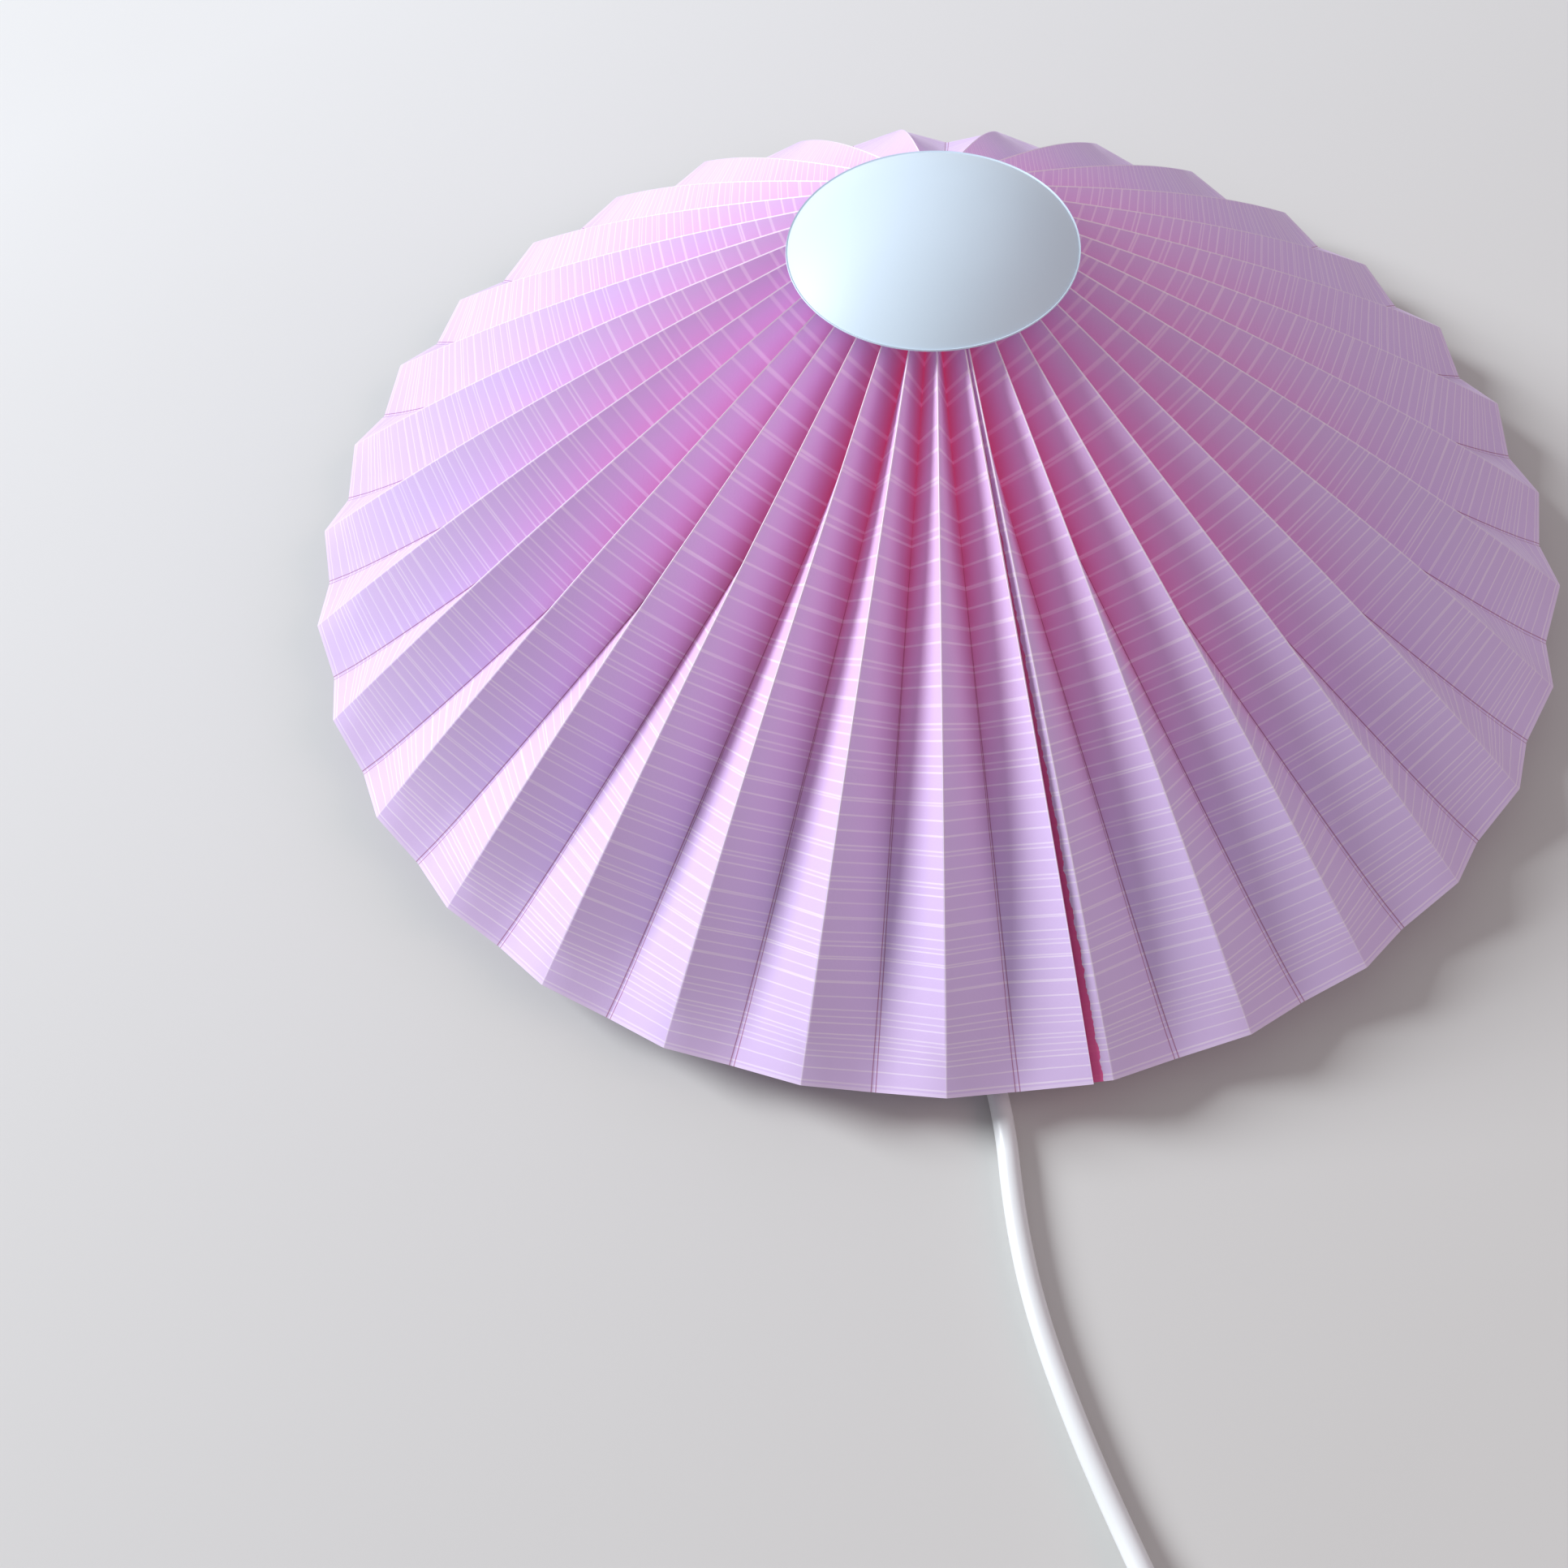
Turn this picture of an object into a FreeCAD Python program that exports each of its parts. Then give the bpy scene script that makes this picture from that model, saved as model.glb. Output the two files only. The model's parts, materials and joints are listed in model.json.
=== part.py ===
import FreeCAD, Part
import math
import os

# A wall lamp with a pleated paper shade, lying on its back plate.
# Millimetres.  Origin: middle of the back plate's rear face.  +Z points away from the wall,
# -Y is the side where the mains cord leaves.
os.makedirs("parts", exist_ok=True)
V = FreeCAD.Vector
UP = V(0, 0, 1)

# ---------------------------------------------------------------- driving dimensions
# Pleated shade: a rectangular strip, folded every PANEL, opened to a cone and closed at a seam.
PLEATS = 32
RIM_R = 200.0            # ridge folds at the open rim
RIM_Z = 16.0             # height of the ridge folds at the rim
THROAT_R = 31.0          # ridge folds at the gathered end
THROAT_Z = 127.0         # height of the ridge folds at the gathered end
RIDGE_BULGE = 3.2        # how far the ridges stand above a straight line
PANEL = RIM_R * 0.1005   # distance between neighbouring folds
PAPER = 0.4
FOLD_MITRE = 0.8         # longest mitre at a fold: the scored paper is thinner there
SEAM_ANGLE = -74.5       # degrees, middle of the seam
SEAM_GAP = 1.54          # degrees between the last ridge and the tucked one
SEAM_DROP = 0.6          # how far the tucked panel lies below the one over it
TAPE_WIDTH = 10.0
TAPE_START = 5.6         # from the valley fold beside the seam
THREAD_R = 0.6           # gathering thread
THREAD_INSET = 4.0       # from the gathered end of the strip

# End cap
CAP_R = THROAT_R + 8.7
CAP_EDGE_Z = 125.0       # lower edge
CAP_RISE = 13.5
CAP_WALL = 1.8
CAP_COLLAR_WALL = 1.5
CAP_COLLAR_END_Z = 115.5

# Gallery: the ring that carries the gathered end of the shade
GALLERY_COLLAR_R = THROAT_R - 12.4
GALLERY_WALL = 1.4
GALLERY_COLLAR_TOP_Z = 122.0
GALLERY_FLANGE_R = THROAT_R + 3.0
GALLERY_FLANGE_T = 3.0
BOSS_R = 3.6
BOSS_H = 7.0

# Carrier arms between the lampholder and the gallery
ARM_WIRE_R = 1.5
ARM_R = GALLERY_FLANGE_R - 4.5
ARM_COUNT = 3
CARRIER_T = 1.6

# Lampholder, small screw size
HOLDER_Z = 13.5          # bottom of the lampholder, on its bracket
HOLDER_LEN = 42.0
HOLDER_R = 13.9          # thread that takes the shade nut
HOLDER_SKIRT_R = HOLDER_R + 1.1
HOLDER_FLANGE_R = HOLDER_R + 3.1
CARRIER_OUT_R = HOLDER_R + 7.6
HOLDER_FLANGE_Z = 30.5   # height of the flange's lower face
HOLDER_FLANGE_T = 3.0
HOLDER_WALL = 2.4
HOLDER_FLOOR = 3.0
NIPPLE_R = 5.0
NIPPLE_BORE_R = 3.6
SHELL_R = 7.2            # bore of the brass screw shell
SHELL_T = 0.5
NUT_H = 7.0
NUT_R = HOLDER_R + 5.3
WASHER_T = 0.8

# Bulb
BULB_R = 20.0
BULB_LEN = 66.0
BULB_CAP_R = 6.95
BULB_CAP_LEN = 19.0
BULB_TIP_Z = 33.5

# Wall plate and cover
PLATE_T = 2.0
COVER_R = 56.0
PLATE_R = COVER_R - 3.0
COVER_WALL = 2.0
COVER_TOP_Z = 27.0
SCREW_SPACING = 60.0     # between the two wall screws
WALL_SCREW_R = 2.5
STANDOFF_X = 33.0        # the two standoffs that hold the cover, on a diagonal
STANDOFF_R = 3.5
M3_R = 1.5

# Cord
CORD_R = 2.9
CORD_EXIT_Z = 8.0
GLAND_TIP_Y = -COVER_R - 28.0
GLAND_R = 5.6

# In-line switch and plug
SWITCH_LEN = 62.0
SWITCH_W = 26.0
SWITCH_H = 17.0
SWITCH_WALL = 2.0
ROCKER_R = 8.6
ROCKER_W = 10.0
ROCKER_TILT = 7.0
PIVOT_R = 1.5
PLUG_W = 34.0
PLUG_T = 14.0            # the plug lies on the table, its cord half way up
PLUG_LEN = 36.0
PLUG_TAIL = 32.0
PIN_PITCH = 18.6
PIN_R = 2.0
PIN_LEN = 19.0

# Clearances
RUN = 0.05               # running fit, on the radius
GAP = 0.3                # between pieces that part from each other
FREE = 0.6               # around a piece that only passes through

# Points of the cord, from the clamp inside the cover to the switch
CORD_A = [(0.0, -40.0, 8.0), (0.0, -92.0, 8.0), (8.6, -144.0, 3.2), (19.6, -174.0, 3.0),
          (27.3, -199.0, 3.0), (31.0, -225.0, 3.0), (36.2, -249.5, 3.0), (46.4, -277.0, 3.0),
          (59.2, -304.5, 3.2), (70.0, -328.0, SWITCH_H / 2)]
# ... from the switch to the coil, and from the coil to the plug
CORD_B = [(97.9, -383.37, SWITCH_H / 2), (103.9, -401.5, 4.8), (107.6, -422.0, 4.1), (107.9, -442.0, 4.1)]
COIL_C = (66.2, -444.0)
COIL_RADII = [24.3, 30.1, 35.9, 41.7]
COIL_LAYERS = [4.1, 9.9]
CORD_C = [(24.5, -444.0, 9.9), (24.6, -425.0, 7.6), (19.6, -405.5, 5.9), (6.0, -391.5, PLUG_T / 2)]
TIE_T = 1.0
TIE_W = 10.0

DELTA = math.radians((360.0 - SEAM_GAP) / PLEATS / 2.0)    # angle from one fold to the next
SWITCH_DIR = V(0.45, -0.893, 0).normalize()
SWITCH_AT = V(70.0, -328.0, 0)
PLUG_AT = V(6.0, -391.5, 0)
PLUG_DIR = V(-0.76, 0.65, 0).normalize()


# ---------------------------------------------------------------- helpers
def save(name, *solids):
    shape = solids[0] if len(solids) == 1 else Part.makeCompound(list(solids))
    shape.exportStep("parts/" + name + ".step")
    volume = sum(s.Volume for s in shape.Solids)
    print("%-22s solids %2d  valid %s  %.0f mm3" % (name, len(shape.Solids), shape.isValid(), volume))
    return shape


def cyl(radius, z0, z1, x=0.0, y=0.0):
    return Part.makeCylinder(radius, z1 - z0, V(x, y, z0), UP)


def tube(outer, inner, z0, z1, x=0.0, y=0.0):
    return cyl(outer, z0, z1, x, y).cut(cyl(inner, z0 - 1, z1 + 1, x, y))


def box(x0, x1, y0, y1, z0, z1):
    return Part.makeBox(x1 - x0, y1 - y0, z1 - z0, V(x0, y0, z0))


def turned(outline):
    """Solid of revolution about Z from (radius, height) points."""
    points = [V(r, 0, z) for r, z in outline]
    face = Part.Face(Part.makePolygon(points + points[:1]))
    return face.revolve(V(0, 0, 0), UP, 360)


def prism(outline, z0, z1):
    points = [V(x, y, z0) for x, y in outline]
    return Part.Face(Part.makePolygon(points + points[:1])).extrude(V(0, 0, z1 - z0))


def placed(shape, at, direction):
    """Moves a shape modelled along +X from the origin to start at a point, along a flat direction."""
    angle = math.degrees(math.atan2(direction.y, direction.x))
    copy = shape.copy()
    copy.rotate(V(0, 0, 0), UP, angle)
    copy.translate(V(at.x, at.y, 0))
    return copy


def around(shape, count, start=0.0):
    """Copies of a shape, evenly spaced about Z."""
    copies = []
    for i in range(count):
        copy = shape.copy()
        copy.rotate(V(0, 0, 0), UP, start + 360.0 * i / count)
        copies.append(copy)
    return copies


def rounded_path(points, radius=None):
    """Straight runs joined by tangent arcs; returns the wire and its length."""
    points = [V(*p) for p in points]
    edges, here, radii = [], points[0], []
    for before, corner, after in zip(points, points[1:], points[2:]):
        a, b = (before - corner), (after - corner)
        turn = math.pi - a.getAngle(b)
        reach = 0.45 * min(a.Length, b.Length)
        if radius is not None:
            reach = radius * math.tan(turn / 2)
        radii.append(reach / math.tan(turn / 2))
        a.normalize()
        b.normalize()
        start, end = corner + a * reach, corner + b * reach
        middle_dir = (a + b).normalize()
        middle = corner + middle_dir * (radii[-1] / math.cos(turn / 2) - radii[-1])
        edges.append(Part.LineSegment(here, start).toShape())
        edges.append(Part.Arc(start, middle, end).toShape())
        here = end
    edges.append(Part.LineSegment(here, points[-1]).toShape())
    return Part.Wire(edges), sum(e.Length for e in edges), radii


def swept(points, section_r, radius=None, label=None):
    """Round tube along a rounded path."""
    path, length, radii = rounded_path(points, radius)
    first = V(*points[1]) - V(*points[0])
    ring = Part.Wire(Part.Circle(V(*points[0]), first, section_r).toShape())
    solid = path.makePipeShell([ring], True, False)
    if label:
        share = solid.Volume / (math.pi * section_r ** 2 * length)
        print("  %s: length %.1f mm, volume share %.4f, arc radii %s" % (
            label, length, share, ", ".join("%.0f" % r for r in radii)))
    return solid


# ---------------------------------------------------------------- pleated shade
STATIONS = [0.0, 0.12, 0.3, 0.5, 0.7, 0.86, 1.0]


def ridge_at(t):
    """Radius and height of a ridge fold, t from 0 at the gathered end to 1 at the rim."""
    bulge = RIDGE_BULGE * 4 * t * (1 - t) * (0.72 + 0.56 * t)
    return THROAT_R + (RIM_R - THROAT_R) * t, THROAT_Z + (RIM_Z - THROAT_Z) * t + bulge


def valley_at(t):
    """Radius and height of a valley fold: one panel away from the ridge, square to it."""
    r, z = ridge_at(t)
    r0, z0 = ridge_at(t - 1e-4)
    r1, z1 = ridge_at(t + 1e-4)
    slope = math.atan2(z0 - z1, r1 - r0)
    radius = r
    for _ in range(20):
        depth = math.sqrt(PANEL ** 2 - (radius * math.sin(DELTA)) ** 2)
        radius = (r - depth * math.sin(slope)) / math.cos(DELTA)
    return radius, z - depth * math.cos(slope)


def fold_point(k, t):
    """Middle of the paper at fold k.  Fold 1 is the ridge of the tucked panel, odd folds are ridges."""
    angle = math.radians(SEAM_ANGLE + SEAM_GAP / 2) + (k - 1) * DELTA
    r, z = ridge_at(t) if k % 2 else valley_at(t)
    return V(r * math.cos(angle), r * math.sin(angle), z)


def strip_middle(t):
    """Points across the strip at one station, starting with the tucked panel's free edge."""
    folds = [fold_point(k, t) for k in range(1, 2 * PLEATS + 2)]
    ridge, valley = folds[-1], folds[-2]
    across = (ridge - valley).normalize()
    along = (fold_point(2 * PLEATS + 1, t + 0.01) - fold_point(2 * PLEATS + 1, t - 0.01)).normalize()
    below = across.cross(along).normalize()
    if below.z > 0:
        below = below * -1
    start = folds[0] + (valley + below * SEAM_DROP - folds[0]).normalize() * (PANEL - 0.4)
    return [start] + folds


def strip_sides(t):
    """Outer and inner face points at one station, mitred at every fold."""
    middle = strip_middle(t)
    before, after = strip_middle(max(t - 0.01, -0.01)), strip_middle(min(t + 0.01, 1.01))
    normals = []
    for i in range(len(middle) - 1):
        along = (after[i] - before[i]) + (after[i + 1] - before[i + 1])
        normal = along.cross(middle[i + 1] - middle[i]).normalize()
        normals.append(normal if normal.z > 0 else normal * -1)
    outer, inner = [], []
    for i, point in enumerate(middle):
        a = normals[max(i - 1, 0)]
        b = normals[min(i, len(normals) - 1)]
        mitre = (a + b).normalize()
        mitre = mitre * min(PAPER / 2 / mitre.dot(a), FOLD_MITRE)
        outer.append(point + mitre)
        inner.append(point - mitre)
    return outer, inner


def curve_through(points):
    curve = Part.BSplineCurve()
    curve.interpolate(Points=points, Parameters=STATIONS)
    return curve.toShape()


def sewn(faces):
    shell = Part.makeShell(faces)
    shell.sewShape()
    solid = Part.Solid(shell)
    if solid.Volume < 0:
        solid.reverse()
    return solid


def pleated_solid():
    sides = [strip_sides(t) for t in STATIONS]
    count = len(sides[0][0])
    outer = [curve_through([s[0][i] for s in sides]) for i in range(count)]
    inner = [curve_through([s[1][i] for s in sides]) for i in range(count)]
    faces = []
    for start, end in ((0.0, 0.5), (0.5, 1.0)):      # each panel in two lengths, meeting edge to edge
        over = [edge.Curve.toShape(start, end) for edge in outer]
        under = [edge.Curve.toShape(start, end) for edge in inner]
        for i in range(count - 1):
            faces.append(Part.makeRuledSurface(over[i], over[i + 1]))
            faces.append(Part.makeRuledSurface(under[i], under[i + 1]))
        for i in (0, count - 1):
            faces.append(Part.makeRuledSurface(over[i], under[i]))
    for top, bottom in (sides[0], sides[-1]):
        for i in range(count - 1):
            faces.append(Part.Face(Part.makePolygon([top[i], top[i + 1], bottom[i], top[i]])))
            faces.append(Part.Face(Part.makePolygon([top[i + 1], bottom[i + 1], bottom[i], top[i + 1]])))
    return sewn(faces)


def strip_length():
    """Length along a fold, and along a valley fold as a check that the strip stays a rectangle."""
    lengths = []
    for profile in (ridge_at, valley_at):
        points = [V(*profile(i / 200.0), 0) for i in range(201)]
        lengths.append(sum((b - a).Length for a, b in zip(points, points[1:])))
    return lengths


def valley_underside():
    """(radius, height) of the lowest line of the paper in the valleys, near the gathered end."""
    line = []
    for t in (0.0, 0.12):
        folds = strip_sides(t)[1]
        points = [(math.hypot(p.x, p.y), p.z) for p in (folds[0], folds[2])]
        line.append(min(points, key=lambda p: p[1] + p[0] * 0.6))
    return line


def seam_tape():
    """Adhesive strip in the wedge between the tucked panel and the last one."""
    def quad(t):
        middle = strip_middle(t)
        over0, over1 = middle[-2], middle[-1]
        under0, under1 = middle[0], middle[1]
        across = (over1 - over0).normalize()
        points = []
        for reach in (TAPE_START, TAPE_START + TAPE_WIDTH):
            over = over0 + across * reach
            share = (over - under0).dot((under1 - under0).normalize())
            under = under0 + (under1 - under0).normalize() * share
            step = (under - over).normalize()
            points.append((over + step * (PAPER / 2 + 0.03), under - step * (PAPER / 2 + 0.03)))
        (a, d), (b, c) = points
        return [a, b, c, d]
    stations = (0.06, 0.3, 0.6, 0.96)
    corners = [quad(t) for t in stations]
    faces = []
    for lower, upper in zip(corners, corners[1:]):
        for i in range(4):
            j = (i + 1) % 4
            faces.append(Part.makeRuledSurface(Part.makeLine(lower[i], lower[j]), Part.makeLine(upper[i], upper[j])))
    for a, b, c, d in (corners[0], corners[-1]):
        faces.append(Part.makeRuledSurface(Part.makeLine(a, b), Part.makeLine(d, c)))
    return sewn(faces)


def gathering_thread():
    """Thread through all pleats near the gathered end, drawn to a ring."""
    t = THREAD_INSET / strip_length()[0]
    ridge, valley = ridge_at(t), valley_at(t)
    radius = (ridge[0] + valley[0]) / 2
    height = (ridge[1] + valley[1]) / 2
    return Part.makeTorus(radius, THREAD_R, V(0, 0, height), UP)


# ---------------------------------------------------------------- cap and carrier
def end_cap():
    sphere_r = (CAP_R ** 2 + CAP_RISE ** 2) / (2 * CAP_RISE)
    centre_z = CAP_EDGE_Z + CAP_RISE - sphere_r
    dome = Part.makeSphere(sphere_r, V(0, 0, centre_z))
    hollow = Part.makeSphere(sphere_r - CAP_WALL, V(0, 0, centre_z))
    slab = cyl(CAP_R, CAP_EDGE_Z, CAP_EDGE_Z + CAP_RISE + 1)
    shell = dome.common(slab).cut(hollow)
    inner = GALLERY_COLLAR_R + RUN
    collar = tube(inner + CAP_COLLAR_WALL, inner, CAP_COLLAR_END_Z, CAP_EDGE_Z + CAP_RISE)
    collar = collar.common(Part.makeSphere(sphere_r - CAP_WALL / 2, V(0, 0, centre_z)))
    return shell.fuse(collar).removeSplitter()


def gallery():
    """Collar that the cap pushes onto, with a sloping flange under the valleys of the shade."""
    line = valley_underside()
    slope = (line[-1][1] - line[0][1]) / (line[-1][0] - line[0][0])
    rise = GAP / math.cos(math.atan(slope))
    inner = GALLERY_COLLAR_R - GALLERY_WALL

    def under(radius):
        return line[0][1] + slope * (radius - line[0][0]) - rise

    top_in, top_out = under(GALLERY_COLLAR_R), under(GALLERY_FLANGE_R)
    body = turned([(inner, top_in - GALLERY_FLANGE_T), (inner, GALLERY_COLLAR_TOP_Z),
                   (GALLERY_COLLAR_R, GALLERY_COLLAR_TOP_Z), (GALLERY_COLLAR_R, top_in),
                   (GALLERY_FLANGE_R, top_out), (GALLERY_FLANGE_R, top_out - GALLERY_FLANGE_T)])
    low = top_out - GALLERY_FLANGE_T - BOSS_H + 3
    for x, y in arm_places():
        boss = cyl(BOSS_R, low, under(ARM_R + BOSS_R) - 0.2, x, y)
        body = body.fuse(boss).cut(cyl(ARM_WIRE_R, low - 1, low + BOSS_H - 1.5, x, y))
    return body.removeSplitter(), low + BOSS_H - 1.5


def arm_places():
    for i in range(ARM_COUNT):
        angle = math.radians(30 + 360.0 * i / ARM_COUNT)
        yield ARM_R * math.cos(angle), ARM_R * math.sin(angle)


def carrier(top_z):
    low = HOLDER_FLANGE_Z + HOLDER_FLANGE_T
    ring = tube(CARRIER_OUT_R, HOLDER_R + GAP, low, low + CARRIER_T)
    start = CARRIER_OUT_R - 1.0
    height = low + CARRIER_T / 2
    arm = swept([(start, 0, height), (ARM_R, 0, height), (ARM_R, 0, top_z)], ARM_WIRE_R,
                radius=ARM_R - start - 1.0)
    return ring, around(arm, ARM_COUNT, 30)


def shade_nut():
    low = HOLDER_FLANGE_Z + HOLDER_FLANGE_T + CARRIER_T
    bore = HOLDER_R + RUN
    washer = tube(NUT_R - 1.5, bore + GAP, low, low + WASHER_T)
    low += WASHER_T
    ring = tube(NUT_R, bore, low, low + NUT_H)
    groove = cyl(1.1, low - 1, low + NUT_H + 1, NUT_R + 0.35, 0)
    for cutter in around(groove, 24):
        ring = ring.cut(cutter)
    return washer, ring


# ---------------------------------------------------------------- lampholder and bulb
def holder_body():
    top = HOLDER_Z + HOLDER_LEN
    flange_top = HOLDER_FLANGE_Z + HOLDER_FLANGE_T
    bore = HOLDER_R - HOLDER_WALL
    return turned([(NIPPLE_R, HOLDER_Z), (HOLDER_SKIRT_R, HOLDER_Z), (HOLDER_SKIRT_R, HOLDER_FLANGE_Z),
                   (HOLDER_FLANGE_R, HOLDER_FLANGE_Z), (HOLDER_FLANGE_R, flange_top),
                   (HOLDER_R, flange_top), (HOLDER_R, top), (bore, top),
                   (bore, HOLDER_Z + HOLDER_FLOOR), (NIPPLE_R, HOLDER_Z + HOLDER_FLOOR)])


def holder_inside():
    """Ceramic insert, brass screw shell, centre contact and two terminals."""
    bore = HOLDER_R - HOLDER_WALL
    low = BULB_TIP_Z - 8.5
    insert = tube(bore, 1.6, low, low + 4.5)
    for x in (-6.0, 6.0):
        insert = insert.cut(cyl(1.1, low - 1, low + 3, x, 0))
    shell = tube(SHELL_R + SHELL_T, SHELL_R, low + 4.5, HOLDER_Z + HOLDER_LEN - 2)
    floor = tube(SHELL_R + SHELL_T, 3.0, low + 4.5, low + 5.0)
    contact = cyl(1.6, low - 2.0, BULB_TIP_Z - GAP / 2).fuse(cyl(2.4, low + 4.5, low + 5.5))
    terminals = [box(x - 2.2, x + 2.2, -2.5, 2.5, low - 3.6, low) for x in (-6.0, 6.0)]
    terminals = [t.cut(cyl(0.95, low - 6.0, low - 1.5, t.CenterOfMass.x, 0)) for t in terminals]
    return insert, shell.fuse(floor), contact, terminals


def bulb():
    """Opal globe, screw cap, insulator and centre tip."""
    low = BULB_TIP_Z
    tip = cyl(2.3, low, low + 1.2)
    insulator = turned([(0, low + 1.2), (2.8, low + 1.2), (BULB_CAP_R - 1.6, low + 4.0), (0, low + 4.0)])
    cap_top = low + 4.0 + BULB_CAP_LEN
    cap = tube(BULB_CAP_R, BULB_CAP_R - 0.4, low + 4.0, cap_top)
    floor = cyl(BULB_CAP_R, low + 4.0, low + 4.4)
    centre_z = low + BULB_LEN - BULB_R
    neck_r = BULB_CAP_R + 2.3
    angle = math.radians(40)
    join_r, join_z = BULB_R * math.cos(angle), centre_z - BULB_R * math.sin(angle)
    edges = [Part.LineSegment(V(0, 0, cap_top), V(neck_r, 0, cap_top)).toShape(),
             Part.Arc(V(neck_r, 0, cap_top), V((neck_r + join_r) / 2 - 1.0, 0, (cap_top + join_z) / 2 + 0.6),
                      V(join_r, 0, join_z)).toShape(),
             Part.Arc(V(join_r, 0, join_z), V(BULB_R, 0, centre_z), V(0, 0, centre_z + BULB_R)).toShape(),
             Part.LineSegment(V(0, 0, centre_z + BULB_R), V(0, 0, cap_top)).toShape()]
    globe = Part.Face(Part.Wire(edges)).revolve(V(0, 0, 0), UP, 360)
    plug = cyl(BULB_CAP_R - 0.4, cap_top - 5, cap_top)
    hollow = Part.makeSphere(BULB_R - 1.2, V(0, 0, centre_z))
    return globe.fuse(plug).cut(hollow), cap.fuse(floor), insulator, tip


def bracket_and_nipple():
    """Strap over the wires, hollow nipple through it and the nut under it."""
    top = HOLDER_Z
    t = 1.5
    strap = [box(-17, 17, -8, 8, top - t, top), box(-17, -17 + t, -8, 8, PLATE_T, top),
             box(17 - t, 17, -8, 8, PLATE_T, top), box(-25, -17 + t, -8, 8, PLATE_T, PLATE_T + t),
             box(17 - t, 25, -8, 8, PLATE_T, PLATE_T + t)]
    bracket = strap[0].multiFuse(strap[1:]).cut(cyl(NIPPLE_R, 0, top + 1)).removeSplitter()
    bracket = bracket.cut(cyl(WALL_SCREW_R + 3.2, 0, 8, SCREW_SPACING / 2, 0))
    bracket = bracket.cut(cyl(WALL_SCREW_R + 3.2, 0, 8, -SCREW_SPACING / 2, 0))
    nipple = tube(NIPPLE_R, NIPPLE_BORE_R, top - t - 4, top + HOLDER_FLOOR)
    hexagon = [(8.0 * math.cos(math.radians(60 * i)), 8.0 * math.sin(math.radians(60 * i))) for i in range(6)]
    nut = prism(hexagon, top - t - 3.2, top - t).cut(cyl(NIPPLE_R, 0, top))
    return bracket, nipple, nut


# ---------------------------------------------------------------- wall plate, cover, cord entry
def standoff_places():
    return [(STANDOFF_X, STANDOFF_X), (-STANDOFF_X, -STANDOFF_X)]


def wall_plate():
    plate = cyl(PLATE_R, 0, PLATE_T)
    for x in (-SCREW_SPACING / 2, SCREW_SPACING / 2):
        plate = plate.cut(cyl(WALL_SCREW_R, -1, PLATE_T + 1, x, 0))
    return plate


def cover():
    """Deep round dish over the plate, with a hole for the lampholder and a notch for the gland."""
    rise = 5.0
    dish = turned([(0, COVER_TOP_Z), (COVER_R - rise, COVER_TOP_Z), (COVER_R, COVER_TOP_Z - rise),
                   (COVER_R, 0), (COVER_R - COVER_WALL, 0),
                   (COVER_R - COVER_WALL, COVER_TOP_Z - rise - 0.8),
                   (COVER_R - rise - 0.8, COVER_TOP_Z - COVER_WALL), (0, COVER_TOP_Z - COVER_WALL)])
    dish = dish.cut(cyl(HOLDER_FLANGE_R + FREE, 0, COVER_TOP_Z + 1))
    neck = GLAND_R - 1.2
    notch = box(-neck, neck, -COVER_R - 1, -COVER_R + 4, -1, CORD_EXIT_Z)
    hole = Part.makeCylinder(neck, 6, V(0, -COVER_R - 1, CORD_EXIT_Z), V(0, 1, 0))
    dish = dish.cut(notch.fuse(hole))
    for x, y in standoff_places():
        dish = dish.cut(cyl(M3_R + 0.2, 20, COVER_TOP_Z + 1, x, y))
    return dish


def standoffs():
    top = COVER_TOP_Z - COVER_WALL
    return [tube(STANDOFF_R, M3_R, PLATE_T, top, x, y) for x, y in standoff_places()]


def cover_screws():
    screws = []
    for x, y in standoff_places():
        head = cyl(2.8, COVER_TOP_Z, COVER_TOP_Z + 1.8, x, y)
        slot = box(x - 3, x + 3, y - 0.4, y + 0.4, COVER_TOP_Z + 0.9, COVER_TOP_Z + 2)
        screws.append(head.cut(slot).fuse(cyl(M3_R, COVER_TOP_Z - 10, COVER_TOP_Z, x, y)))
    return screws


def along_y(outline):
    """Solid turned about the cord's axis, from (distance along -Y, radius) points."""
    points = [V(radius, -far, CORD_EXIT_Z) for far, radius in outline]
    face = Part.Face(Part.makePolygon(points + points[:1]))
    return face.revolve(V(0, 0, CORD_EXIT_Z), V(0, 1, 0), 360)


def gland():
    """Grommet in the cover's wall, tapering into a sleeve over the cord."""
    wall_in, wall_out = COVER_R - COVER_WALL, COVER_R
    neck = GLAND_R - 1.2
    tip = -GLAND_TIP_Y
    return along_y([(wall_in - 2.8, CORD_R), (wall_in - 2.8, GLAND_R), (wall_in - 0.4, GLAND_R),
                    (wall_in - 0.4, neck - 0.1), (wall_out + 0.1, neck - 0.1), (wall_out + 0.1, GLAND_R),
                    (wall_out + 4.0, GLAND_R), (tip, CORD_R + 1.1), (tip, CORD_R + 0.4), (tip - 16, CORD_R)])


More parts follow.
